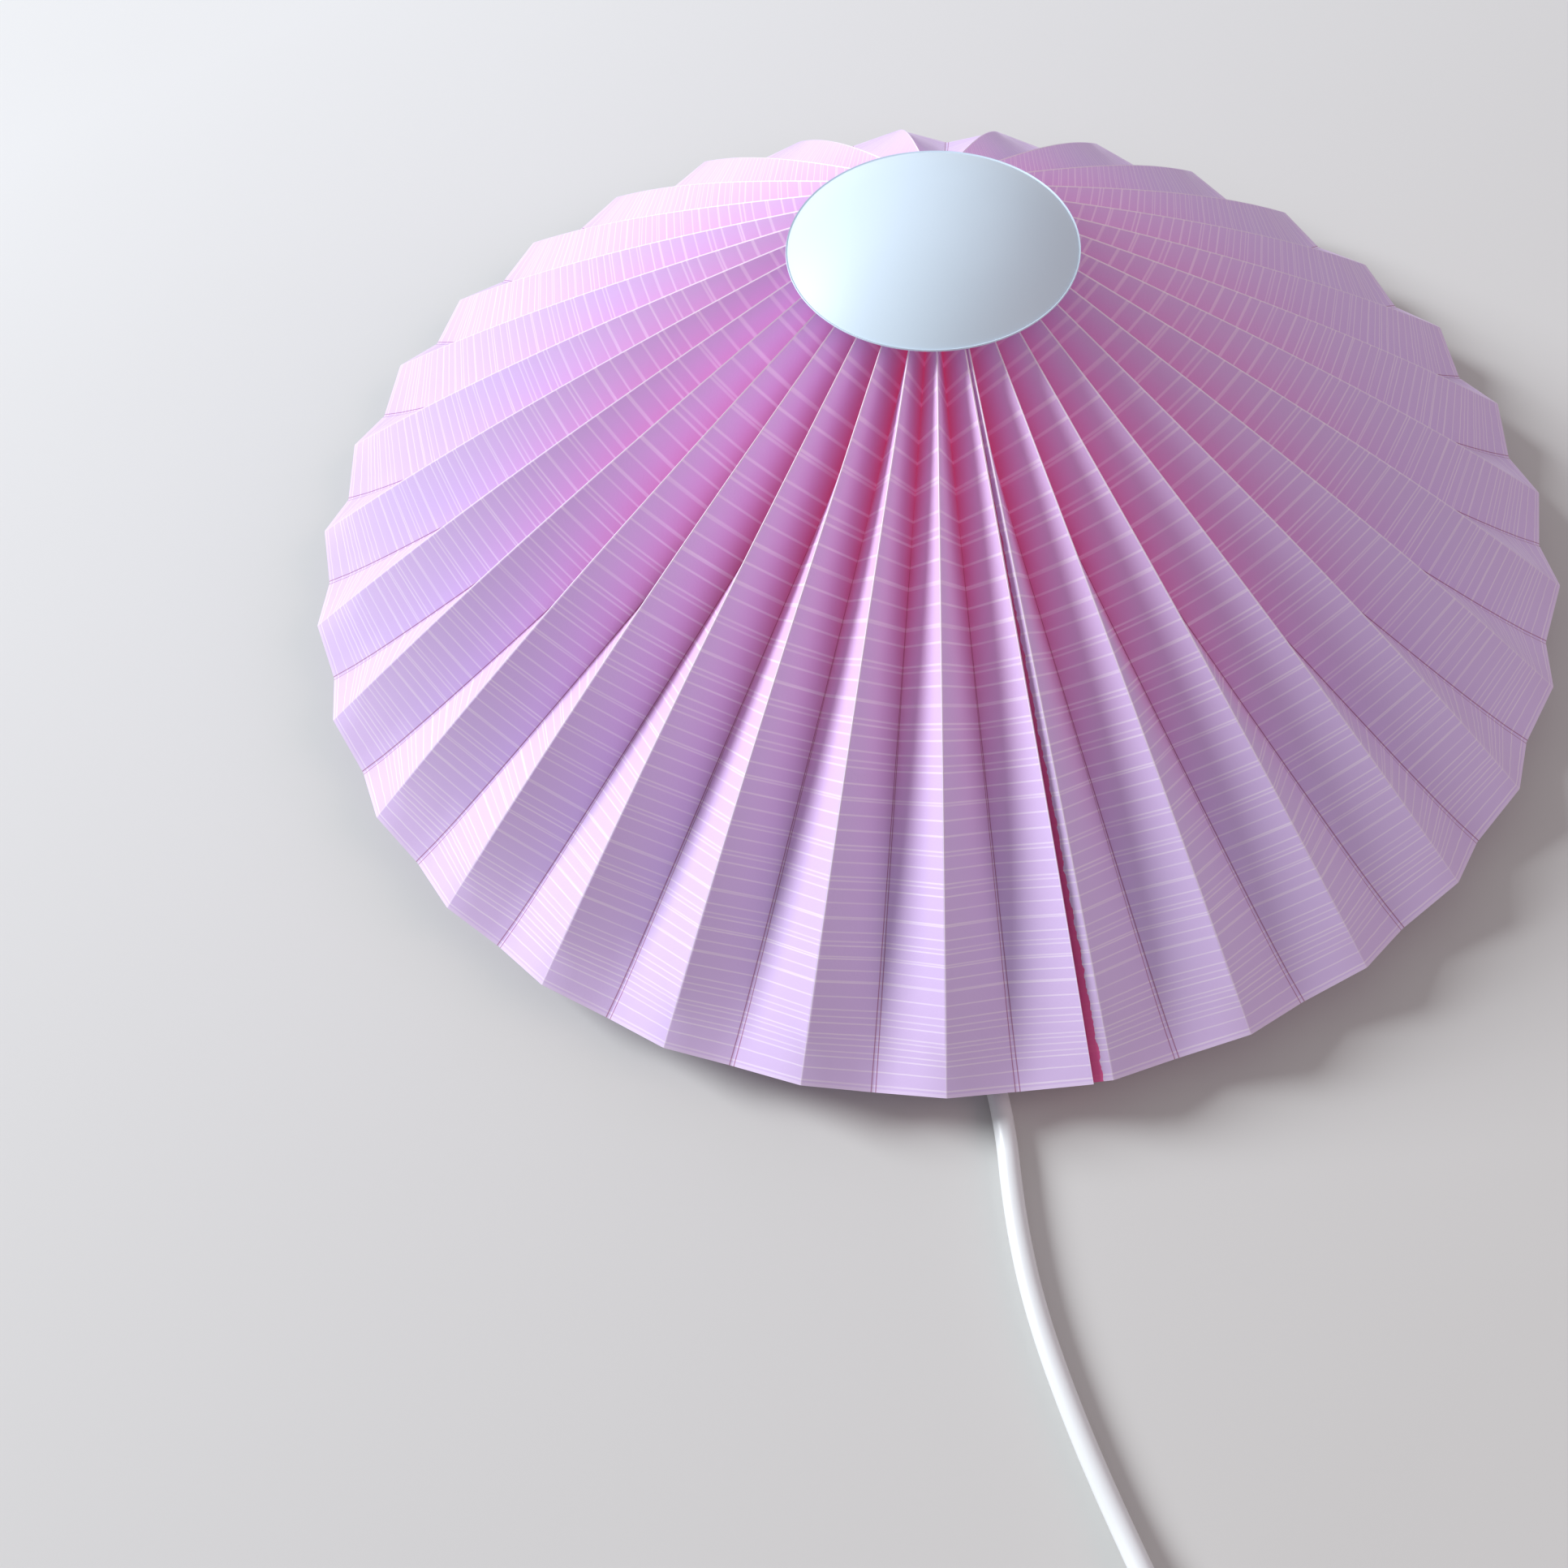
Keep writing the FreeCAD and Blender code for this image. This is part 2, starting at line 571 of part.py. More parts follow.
def cord_clamp():
    """Saddle that grips the cord inside the cover, its base and two screws."""
    y0, y1 = -48.0, -41.0
    base = box(-10, 10, y0, y1, PLATE_T, CORD_EXIT_Z - CORD_R)
    saddle = box(-10, 10, y0, y1, CORD_EXIT_Z + CORD_R, CORD_EXIT_Z + CORD_R + 1.6)
    posts = [tube(2.4, M3_R, CORD_EXIT_Z - CORD_R, CORD_EXIT_Z + CORD_R, x, (y0 + y1) / 2) for x in (-7, 7)]
    base = base.fuse(posts[0]).fuse(posts[1])
    screws = []
    for x in (-7.0, 7.0):
        y = (y0 + y1) / 2
        base = base.cut(cyl(M3_R, PLATE_T + 0.6, 30, x, y))
        saddle = saddle.cut(cyl(M3_R, 0, 30, x, y))
        top = CORD_EXIT_Z + CORD_R + 1.6
        screws.append(cyl(2.6, top, top + 1.6, x, y).fuse(cyl(M3_R, PLATE_T + 2, top, x, y)))
    return base, saddle, screws


def terminal_block():
    """Two-way block between the cord and the lampholder's wires."""
    low = PLATE_T + 0.0
    block = box(-8, 8, -31, -19, low, low + 11)
    for x in (-3.6, 3.6):
        block = block.cut(Part.makeCylinder(1.0, 20, V(x, -35, CORD_EXIT_Z), V(0, 1, 0)))
        for y in (-28.0, -22.0):
            block = block.cut(cyl(1.4, CORD_EXIT_Z, low + 12, x, y))
    screws = [cyl(1.4, CORD_EXIT_Z + 1.0, low + 10.4, x, y) for x in (-3.6, 3.6) for y in (-28.0, -22.0)]
    return block, screws


def core_wires():
    """Two insulated cores: cord to terminal block, then up through the nipple to the lampholder."""
    wires = []
    for side in (-1, 1):
        wires.append(swept([(side * 1.4, -40.0, CORD_EXIT_Z), (side * 1.8, -36.8, CORD_EXIT_Z),
                            (side * 3.6, -33.5, CORD_EXIT_Z), (side * 3.6, -25.5, CORD_EXIT_Z)], 0.9, radius=3.0))
        wires.append(swept([(side * 3.6, -24.5, CORD_EXIT_Z), (side * 3.6, -17.0, CORD_EXIT_Z),
                            (side * 1.5, 0.0, CORD_EXIT_Z - 2.6), (side * 1.5, 0.0, HOLDER_Z + 3.6),
                            (side * 6.0, 0.0, HOLDER_Z + 6.2), (side * 6.0, 0.0, HOLDER_Z + 9.5)],
                           0.9, radius=2.6))
    return wires


# ---------------------------------------------------------------- in-line switch
def rounded_bar(length, width, z0, z1, corner):
    bar = Part.makeBox(length, width, z1 - z0, V(0, -width / 2, z0))
    upright = [e for e in bar.Edges if abs(e.tangentAt(e.FirstParameter).z) > 0.99]
    return bar.makeFillet(corner, upright)


def switch():
    half = SWITCH_H / 2
    wall = SWITCH_WALL
    cord_hole = Part.makeCylinder(CORD_R, SWITCH_LEN + 2, V(-1, 0, half), V(1, 0, 0))
    hollow = rounded_bar(SWITCH_LEN - 2 * wall - 10, SWITCH_W - 2 * wall, wall, SWITCH_H - wall, 5)
    hollow.translate(V(wall + 5, 0, 0))
    pivot = V(SWITCH_LEN / 2, 0, SWITCH_H - ROCKER_R + 3.5)
    slot = Part.makeBox(2 * ROCKER_R + 2 * FREE, ROCKER_W + 2 * FREE, SWITCH_H,
                        V(pivot.x - ROCKER_R - FREE, -ROCKER_W / 2 - FREE, half))
    screw_x = [9.0, SWITCH_LEN - 9.0]
    screw_y = [-7.5, 7.5]
    bottom = rounded_bar(SWITCH_LEN, SWITCH_W, 0, half, 8)
    top = rounded_bar(SWITCH_LEN, SWITCH_W, half, SWITCH_H, 8)
    rim = [e for e in top.Edges if abs(e.BoundBox.ZMin - SWITCH_H) < 1e-6]
    top = top.makeFillet(2.5, rim)
    bottom = bottom.cut(cord_hole).cut(hollow)
    top = top.cut(cord_hole).cut(hollow).cut(slot)
    lug_y = ROCKER_W / 2 + FREE
    for low_y in (lug_y, -lug_y - 2.6):
        lug = Part.makeBox(6.4, 2.6, SWITCH_H - wall + 0.5 - pivot.z + 2.8,
                           V(pivot.x - 3.2, low_y, pivot.z - 2.8))
        top = top.fuse(lug)
    top = top.cut(Part.makeCylinder(PIVOT_R + RUN, SWITCH_W - 2, V(pivot.x, 1 - SWITCH_W / 2, pivot.z), V(0, 1, 0)))
    screws = []
    for x, y in zip(screw_x, screw_y):
        post = cyl(3.2, wall - 0.5, half, x, y)
        bottom = bottom.fuse(post).cut(cyl(M3_R, -1, half + 1, x, y)).cut(cyl(2.8, -1, 1.6, x, y))
        top = top.fuse(cyl(3.2, half, SWITCH_H - 1.5, x, y)).cut(cyl(M3_R, half - 1, half + 5, x, y))
        screws.append(cyl(2.7, 0.2, 1.6, x, y).fuse(cyl(M3_R, 1.6, half + 4.5, x, y)))
    return bottom, top, screws, pivot


def rocker(pivot):
    """Barrel section about its pivot, with two shallow faces, tilted to its off position."""
    barrel = Part.makeCylinder(ROCKER_R, ROCKER_W, V(pivot.x, -ROCKER_W / 2, pivot.z), V(0, 1, 0))
    low = Part.makeBox(60, 30, 20, V(pivot.x - 30, -15, pivot.z - 20 - 0.5))
    barrel = barrel.cut(low)
    crown = SWITCH_H - pivot.z + 1.4
    for side in (-1, 1):
        cutter = Part.makeBox(30, 30, 20, V(0 if side > 0 else -30, -15, 0))
        cutter.rotate(V(0, 0, 0), V(0, 1, 0), -side * 9.0)
        cutter.translate(V(pivot.x, 0, pivot.z + crown - 1.6))
        barrel = barrel.cut(cutter)
    half_pin = ROCKER_W / 2 + FREE + 2.0
    barrel = barrel.fuse(Part.makeCylinder(PIVOT_R, 2 * half_pin, V(pivot.x, -half_pin, pivot.z), V(0, 1, 0)))
    barrel.rotate(pivot, V(0, 1, 0), -ROCKER_TILT)
    return barrel


def switch_contacts():
    strips = []
    for y in (-2.4, 2.4):
        strips.append(Part.makeBox(14, 1.6, 0.8, V(SWITCH_LEN / 2 - 7, y - 0.8, SWITCH_WALL + 1.2)))
        strips.append(Part.makeBox(1.6, 1.6, 1.2, V(SWITCH_LEN / 2 - 0.8, y - 0.8, SWITCH_WALL)))
    return [strips[0].fuse(strips[1]), strips[2].fuse(strips[3])]


# ---------------------------------------------------------------- plug
def plug():
    """Flat two-pin plug lying on its broad side, with its tapered tail first."""
    z = PLUG_T / 2
    tail = Part.makeCone(CORD_R + 1.0, 5.6, PLUG_TAIL, V(0, 0, z), V(1, 0, 0))
    w = PLUG_W / 2
    outline = [(PLUG_TAIL - 2, -6.0), (PLUG_TAIL + 10, -w), (PLUG_TAIL + PLUG_LEN, -w),
               (PLUG_TAIL + PLUG_LEN, w), (PLUG_TAIL + 10, w), (PLUG_TAIL - 2, 6.0)]
    body = prism(outline, 0, PLUG_T)
    long_edges = [e for e in body.Edges if e.BoundBox.ZLength < 1e-6 and e.BoundBox.XLength > 1]
    body = body.makeFillet(2.5, long_edges)
    body = body.fuse(tail)
    sleeve_len = 10.0
    end = PLUG_TAIL + PLUG_LEN
    pins, sleeves = [], []
    for y in (-PIN_PITCH / 2, PIN_PITCH / 2):
        body = body.cut(Part.makeCylinder(PIN_R, 13, V(end - 12, y, z), V(1, 0, 0)))
        pin = Part.makeCylinder(PIN_R - 0.4, 12 + sleeve_len, V(end - 12, y, z), V(1, 0, 0))
        tip = Part.makeCylinder(PIN_R, PIN_LEN - sleeve_len - 1, V(end + sleeve_len, y, z), V(1, 0, 0))
        nose = Part.makeSphere(PIN_R, V(end + PIN_LEN - 1, y, z))
        pins.append(pin.fuse(tip).fuse(nose))
        sleeve = Part.makeCylinder(PIN_R, 12 + sleeve_len, V(end - 12, y, z), V(1, 0, 0))
        sleeves.append(sleeve.cut(Part.makeCylinder(PIN_R - 0.4, 40, V(end - 20, y, z), V(1, 0, 0))))
    body = body.cut(Part.makeCylinder(CORD_R, PLUG_TAIL, V(-1, 0, z), V(1, 0, 0)))
    return body, pins, sleeves


# ---------------------------------------------------------------- coil
def coil():
    inner, outer = COIL_RADII[0] - CORD_R, COIL_RADII[-1] + CORD_R
    low, high = COIL_LAYERS[0] - CORD_R, COIL_LAYERS[-1] + CORD_R
    ring = tube(outer, inner, low, high)
    ring = ring.makeFillet(2.4, [e for e in ring.Edges if isinstance(e.Curve, Part.Circle)])
    ring.translate(V(COIL_C[0], COIL_C[1], 0))
    gap = 0.15
    x_in, x_out = inner - gap - 0.65, outer + gap
    strap = Part.makeBox(x_out - x_in + 2 * TIE_T, TIE_W, high + TIE_T + gap, V(x_in - TIE_T, -TIE_W / 2, 0))
    inside = Part.makeBox(x_out - x_in, TIE_W + 2, high - low + 2 * gap, V(x_in, -TIE_W / 2 - 1, low - gap))
    strap = strap.cut(inside)
    strap.rotate(V(0, 0, 0), UP, 265)
    strap.translate(V(COIL_C[0], COIL_C[1], 0))
    return ring, strap


# ---------------------------------------------------------------- build
print("strip length along ridge %.2f, along valley %.2f" % tuple(strip_length()))
print("strip width when flat %.1f" % (PANEL * (2 * PLEATS + 1)))

save("wall_plate", wall_plate())
save("cover", cover())
save("cover_standoffs", *standoffs())
save("cover_screws", *cover_screws())
holder_bracket, holder_nipple, nipple_nut = bracket_and_nipple()
save("holder_bracket", holder_bracket)
save("holder_nipple", holder_nipple)
save("nipple_nut", nipple_nut)
save("holder_body", holder_body())
insert, shell, contact, terminals = holder_inside()
save("holder_insert", insert)
save("holder_shell", shell)
save("holder_contact", contact)
save("holder_terminals", *terminals)
clamp_base, clamp_saddle, clamp_screws = cord_clamp()
save("clamp_base", clamp_base)
save("clamp_saddle", clamp_saddle)
save("clamp_screws", *clamp_screws)
block, block_screws = terminal_block()
save("terminal_block", block)
save("terminal_screws", *block_screws)
save("core_wires", *core_wires())
save("cord_gland", gland())

gallery_ring, socket_end_z = gallery()
save("shade_gallery", gallery_ring)
carrier_ring, arms = carrier(socket_end_z)
save("carrier_ring", carrier_ring)
save("carrier_arms", *arms)
washer, nut = shade_nut()
save("nut_washer", washer)
save("shade_nut", nut)

globe, screw_cap, insulator, tip = bulb()
save("bulb_globe", globe)
save("bulb_screw_cap", screw_cap)
save("bulb_insulator", insulator)
save("bulb_tip", tip)

save("pleated_shade", pleated_solid())
save("seam_tape", seam_tape())
save("gathering_thread", gathering_thread())
save("end_cap", end_cap())

save("cord_from_lamp", swept(CORD_A, CORD_R, label="cord_from_lamp"))
switch_bottom, switch_top, switch_screws, rocker_pivot = switch()
save("switch_bottom", placed(switch_bottom, SWITCH_AT, SWITCH_DIR))
save("switch_top", placed(switch_top, SWITCH_AT, SWITCH_DIR))
save("switch_screws", *[placed(s, SWITCH_AT, SWITCH_DIR) for s in switch_screws])
save("switch_contacts", *[placed(s, SWITCH_AT, SWITCH_DIR) for s in switch_contacts()])
save("switch_rocker", placed(rocker(rocker_pivot), SWITCH_AT, SWITCH_DIR))
save("cord_to_coil", swept(CORD_B, CORD_R, label="cord_to_coil"))
coil_ring, coil_tie = coil()
save("cord_coil", coil_ring)
save("coil_tie", coil_tie)
save("cord_to_plug", swept(CORD_C, CORD_R, label="cord_to_plug"))
plug_body, plug_pins, pin_sleeves = plug()
save("plug_body", placed(plug_body, PLUG_AT, PLUG_DIR))
save("plug_pins", *[placed(s, PLUG_AT, PLUG_DIR) for s in plug_pins])
save("pin_sleeves", *[placed(s, PLUG_AT, PLUG_DIR) for s in pin_sleeves])
print("rocker pivot", SWITCH_AT + SWITCH_DIR * rocker_pivot.x + UP * rocker_pivot.z)
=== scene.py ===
# %% [markdown]
# A wall lamp lies on a table on its back plate. Its shade is one long strip of lilac paper,
# folded in pleats and gathered under a white cap. The parts from the workshop come first and
# set every size and place. Nothing here moves or reshapes them.

# %% Load the frame
import bpy
import bmesh
import json
import math
import random
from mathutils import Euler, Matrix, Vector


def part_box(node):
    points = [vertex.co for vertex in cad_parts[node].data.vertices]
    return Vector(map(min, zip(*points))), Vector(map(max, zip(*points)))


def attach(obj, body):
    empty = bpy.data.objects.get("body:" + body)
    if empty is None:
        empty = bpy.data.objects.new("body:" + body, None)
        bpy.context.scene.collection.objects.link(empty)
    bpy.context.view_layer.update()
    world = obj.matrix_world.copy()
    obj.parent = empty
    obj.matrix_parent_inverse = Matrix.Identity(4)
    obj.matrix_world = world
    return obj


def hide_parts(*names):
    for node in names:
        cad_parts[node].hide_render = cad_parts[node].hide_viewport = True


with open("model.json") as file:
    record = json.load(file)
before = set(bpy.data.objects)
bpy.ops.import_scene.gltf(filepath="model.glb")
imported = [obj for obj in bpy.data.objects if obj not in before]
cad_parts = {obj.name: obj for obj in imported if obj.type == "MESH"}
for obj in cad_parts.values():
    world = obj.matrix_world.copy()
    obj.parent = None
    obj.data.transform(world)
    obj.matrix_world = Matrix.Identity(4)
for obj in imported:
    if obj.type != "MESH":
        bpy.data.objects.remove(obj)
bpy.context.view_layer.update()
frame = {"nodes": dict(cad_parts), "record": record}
nodes = frame["nodes"]

# %% [markdown]
# The camera stands close in front of the lamp and looks steeply down. It is rolled a little
# to one side, as a camera held in the hand is.

# %% Camera
CAMERA_AT = Vector((0.0, -0.33907, 0.40860))
LOOK_AT = Vector((-0.03931, -0.09556, 0.0))
CAMERA_ROLL = -5.66

bpy.ops.object.camera_add(location=CAMERA_AT)
camera = bpy.context.object
camera.name = "camera"
camera.data.lens = 35.4
camera.data.sensor_width = 36.0
camera.data.clip_start = 0.01
aim = (LOOK_AT - CAMERA_AT).to_track_quat("-Z", "Y").to_matrix()
roll = Euler((0, 0, math.radians(CAMERA_ROLL))).to_matrix()
camera.rotation_euler = (aim @ roll).to_euler()
bpy.context.scene.camera = camera
print("camera looks down by %.1f degrees" % math.degrees(math.asin(
    (CAMERA_AT - LOOK_AT).normalized().z)))

# %% [markdown]
# The mains lead is a smooth white round cord. Its line is one NURBS curve with a round bevel:
# the control points are where a hand would lay it, and the curve runs smoothly past them.
# One stretch goes from the base to the hand switch. The other goes on to a tied coil and
# the plug, out of sight below the picture.

# %% The lead as a curve
LEAD_R = 0.0029


def lay_cord(name, points):
    """Round cord along a smooth line past its points."""
    bpy.ops.object.select_all(action="DESELECT")
    line = bpy.data.curves.new(name, "CURVE")
    line.dimensions = "3D"
    line.resolution_u = 8
    # with a bevel of 1 the cord is as thick as its points say
    line.bevel_depth = 1.0
    line.bevel_resolution = 6
    line.use_fill_caps = True
    spline = line.splines.new("NURBS")
    spline.points.add(len(points) - 1)
    for place, point in zip(spline.points, points):
        place.co = (*point, 1.0)
        place.radius = LEAD_R
    spline.order_u = 3
    spline.use_endpoint_u = True
    cord = bpy.data.objects.new(name, line)
    bpy.context.scene.collection.objects.link(cord)
    return cord


LEAD_TO_SWITCH = [
    (0.0, -0.040, 0.008), (0.0, -0.066, 0.008), (0.0, -0.092, 0.008), (0.0086, -0.144, 0.0032),
    (0.0214, -0.174, 0.0030), (0.0284, -0.199, 0.0030), (0.0310, -0.225, 0.0030),
    (0.0362, -0.2495, 0.0030), (0.0464, -0.277, 0.0030), (0.0592, -0.3045, 0.0032),
    (0.0700, -0.328, 0.0085)]
lead_to_switch = lay_cord("lead_to_switch", LEAD_TO_SWITCH)
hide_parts("cord_from_lamp")
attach(lead_to_switch, "fixture")

# %% The coil and the plug end
COIL_AT = Vector((0.0662, -0.4440, 0.0))
COIL_OUT_R = 0.0417
COIL_STEP = 0.00585
COIL_LOW, COIL_HIGH = 0.0041, 0.0099
TURNS, TURNS_IN, CLIMB_TURNS = 6.5, 3.0, 0.45
INNER_DIP = 0.0012
POINTS_PER_TURN = 16


def coil_radius(turn):
    """Winds in for three turns, climbs for half a turn, winds out on top for three."""
    if turn < TURNS_IN:
        return COIL_OUT_R - COIL_STEP * turn
    if turn < TURNS - TURNS_IN:
        dip = INNER_DIP * math.sin((turn - TURNS_IN) * 2 * math.pi)
        return COIL_OUT_R - COIL_STEP * TURNS_IN - dip
    return COIL_OUT_R - COIL_STEP * (TURNS - turn)


def coil_points():
    points = []
    for i in range(1, int(TURNS * POINTS_PER_TURN)):
        turn = i / POINTS_PER_TURN
        climb = min(max((turn - TURNS_IN) / CLIMB_TURNS, 0.0), 1.0)
        climb = climb * climb * (3 - 2 * climb)
        angle = -turn * 2 * math.pi
        # the control points stand a little outside the turn that the curve makes
        r = coil_radius(turn) / math.cos(math.pi / POINTS_PER_TURN) ** 0.5
        points.append((COIL_AT.x + r * math.cos(angle), COIL_AT.y + r * math.sin(angle),
                       COIL_LOW + (COIL_HIGH - COIL_LOW) * climb))
    return points


FROM_SWITCH = [(0.0979, -0.38337, 0.0085), (0.1039, -0.4015, 0.0048), (0.1076, -0.4220, 0.0041)]
TO_PLUG = [(0.0246, -0.4250, 0.0076), (0.0196, -0.4055, 0.0059), (0.0060, -0.3915, 0.0070)]
lead_to_plug = lay_cord("lead_to_plug", FROM_SWITCH + coil_points() + TO_PLUG)
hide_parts("cord_to_coil", "cord_coil", "cord_to_plug")
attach(lead_to_plug, "fixture")


def line_length(cord):
    """Length along the curve itself, with its bevel off."""
    copy = cord.copy()
    copy.data = cord.data.copy()
    copy.data.bevel_depth = 0
    mesh = bpy.data.meshes.new_from_object(copy)
    total = sum((mesh.vertices[e.vertices[0]].co - mesh.vertices[e.vertices[1]].co).length
                for e in mesh.edges)
    bpy.data.meshes.remove(mesh)
    bpy.data.curves.remove(copy.data)
    return total


for cord in (lead_to_switch, lead_to_plug):
    print(cord.name, "is %.3f m long" % line_length(cord))

# %% [markdown]
# The strip of paper is 202 mm wide and 1.3 m long before folding. A grid is added flat with
# a few columns for each panel, and every column is then carried to its place between two
# folds, as hands gather the strip. Folding keeps every panel flat, and as wide as it was cut.

# %% Where the folds run
PLEATS = 32
RIM_R, RIM_Z = 0.200, 0.016
THROAT_R, THROAT_Z = 0.031, 0.1270
RIDGE_BULGE = 0.0032
STRIP_WIDTH = 0.2023
PANEL = 0.0201
SEAM_ANGLE, SEAM_GAP = -74.5, 1.54
SEAM_DROP, TUCK_SHORT = 0.0006, 0.0004
HALF_PLEAT = math.radians((360 - SEAM_GAP) / PLEATS / 2)
FOLDS = 2 * PLEATS + 1


def ridge_at(t):
    """Radius and height of a ridge, from the gathered end (0) to the rim (1)."""
    bulge = RIDGE_BULGE * 4 * t * (1 - t) * (0.72 + 0.56 * t)
    return THROAT_R + (RIM_R - THROAT_R) * t, THROAT_Z + (RIM_Z - THROAT_Z) * t + bulge


def valley_at(t):
    """Radius and height of a valley: one panel's width down from the ridges beside it."""
    r, z = ridge_at(t)
    (r0, z0), (r1, z1) = ridge_at(t - 1e-4), ridge_at(t + 1e-4)
    slope = math.atan2(z0 - z1, r1 - r0)
    radius = r
    for _ in range(20):
        depth = math.sqrt(PANEL ** 2 - (radius * math.sin(HALF_PLEAT)) ** 2)
        radius = (r - depth * math.sin(slope)) / math.cos(HALF_PLEAT)
    return radius, z - depth * math.cos(slope)


random.seed(7)
hand = [(random.gauss(0, 0.0004), random.gauss(0, 0.0005)) for _ in range(FOLDS + 1)]


def fold_point(k, t):
    """Fold k at t, with the small unevenness of handwork growing towards the rim."""
    angle = math.radians(SEAM_ANGLE + SEAM_GAP / 2) + (k - 1) * HALF_PLEAT
    r, z = ridge_at(t) if k % 2 else valley_at(t)
    side, lift = hand[k]
    if 2 < k < FOLDS - 1:
        angle += side * t * t / RIM_R
        z += lift * t * t
    return Vector((r * math.cos(angle), r * math.sin(angle), z))


print("panel %.1f mm, strip %.0f mm long" % (PANEL * 1000, PANEL * FOLDS * 1000))

# %% Fold the strip
ROWS = 26
ACROSS = 3


def tucked_edge(t):
    """Free edge of the first panel, which lies glued under the last one."""
    first, ridge, valley = fold_point(1, t), fold_point(FOLDS, t), fold_point(FOLDS - 1, t)
    along = fold_point(FOLDS, t + 0.01) - fold_point(FOLDS, t - 0.01)
    below = (ridge - valley).cross(along).normalized()
    if below.z > 0:
        below.negate()
    return first + (valley + below * SEAM_DROP - first).normalized() * (PANEL - TUCK_SHORT)


def strip_place(column, t):
    """Place of a column of the flat grid after folding."""
    k, part = divmod(column, ACROSS)
    start = tucked_edge(t) if k == 0 else fold_point(k, t)
    if part == 0:
        return start
    return start.lerp(fold_point(k + 1, t), part / ACROSS)


bpy.ops.object.select_all(action="DESELECT")
bpy.ops.mesh.primitive_grid_add(x_subdivisions=FOLDS * ACROSS, y_subdivisions=ROWS, size=1.0)
paper_shade = bpy.context.object
paper_shade.name = "paper_shade"
strip = paper_shade.data
fold_edge = strip.attributes.new("fold", "FLOAT", "POINT")
for v in strip.vertices:
    column = round((v.co.x + 0.5) * FOLDS * ACROSS)
    t = v.co.y + 0.5
    fold_edge.data[v.index].value = 1.0 if column % ACROSS == 0 and column > 0 else 0.0
    v.co = strip_place(column, t)
print("strip of", len(strip.polygons), "faces")

# %% [markdown]
# A fold in scored paper isn't a knife edge: the fibres crush into a tiny round. The fold
# edges are bevelled by a third of a millimetre, and the sheet then gets its thickness.

# %% Round the folds and give the paper its thickness
PAPER = 0.0004
FOLD_ROUND, SHARP = 0.00035, 0.3


def give_thickness(piece, thickness, offset=-1.0):
    """Turns an open shell, which is the active object, into a closed wall."""
    wall = piece.modifiers.new("wall", "SOLIDIFY")
    wall.thickness = thickness
    wall.offset = offset
    bpy.ops.object.modifier_apply(modifier="wall")


bpy.ops.object.mode_set(mode="EDIT")
mesh = bmesh.from_edit_mesh(strip)
fold_layer = mesh.verts.layers.float["fold"]
bpy.ops.mesh.select_mode(type="EDGE")
bpy.ops.mesh.select_all(action="DESELECT")
for edge in mesh.edges:
    a, b = edge.verts
    if a[fold_layer] > 0.5 and b[fold_layer] > 0.5 and len(edge.link_faces) == 2:
        edge.select = edge.calc_face_angle(0.0) > SHARP
bmesh.update_edit_mesh(strip)
bpy.ops.mesh.bevel(offset=FOLD_ROUND, segments=2, profile=0.5)
bpy.ops.mesh.select_all(action="SELECT")
bpy.ops.mesh.normals_make_consistent(inside=False)
bpy.ops.object.mode_set(mode="OBJECT")
top_side = [p for p in strip.polygons if p.normal.z > 0]
print("faces looking up: %d of %d" % (len(top_side), len(strip.polygons)))
if len(top_side) < len(strip.polygons) / 2:
    strip.flip_normals()
# a fifth thinner than the solid it stands for, so that it stays inside that
give_thickness(paper_shade, PAPER * 0.8, offset=0.0)
bpy.ops.object.shade_smooth_by_angle(angle=math.radians(14))
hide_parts("pleated_shade")
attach(paper_shade, "shade")
print("paper shade:", len(strip.polygons), "faces")

# %% [markdown]
# Round pieces are drawn up ring by ring, as on a lathe: a circle is added at the first
# radius, and each next ring is an extrusion of the last one, lifted and scaled. The last
# ring is bridged back to the first, or closed on the axis.

# %% A helper for turned pieces
def turned_piece(name, rings, body, sides=96, closed=True, bevel=0.0, segments=3):
    """rings are (radius, height) in metres, up the outside and back down the inside."""
    bpy.ops.object.select_all(action="DESELECT")
    r, z = rings[0]
    bpy.ops.mesh.primitive_circle_add(vertices=sides, radius=r, location=(0, 0, z))
    piece = bpy.context.object
    piece.name = name
    bpy.ops.object.transform_apply(location=True, rotation=True, scale=True)
    bpy.ops.object.mode_set(mode="EDIT")
    bpy.ops.mesh.select_mode(type="EDGE")
    bpy.ops.mesh.select_all(action="SELECT")
    for next_r, next_z in rings[1:]:
        bpy.ops.mesh.extrude_region_move(TRANSFORM_OT_translate={"value": (0, 0, next_z - z)})
        if next_r == 0:
            bpy.ops.mesh.merge(type="CENTER")
            break
        bpy.ops.transform.resize(value=(next_r / r, next_r / r, 1.0),
                                 center_override=(0, 0, next_z))
        r, z = next_r, next_z
    if closed:
        bpy.ops.mesh.select_all(action="DESELECT")
        shell = bmesh.from_edit_mesh(piece.data)
        for edge in shell.edges:
            edge.select = len(edge.link_faces) == 1
        bmesh.update_edit_mesh(piece.data)
        bpy.ops.mesh.bridge_edge_loops()
    bpy.ops.mesh.select_all(action="SELECT")
    bpy.ops.mesh.remove_doubles(threshold=1e-7)
    bpy.ops.mesh.normals_make_consistent(inside=False)
    bpy.ops.object.mode_set(mode="OBJECT")
    finish_piece(piece, body, bevel, segments)
    return piece


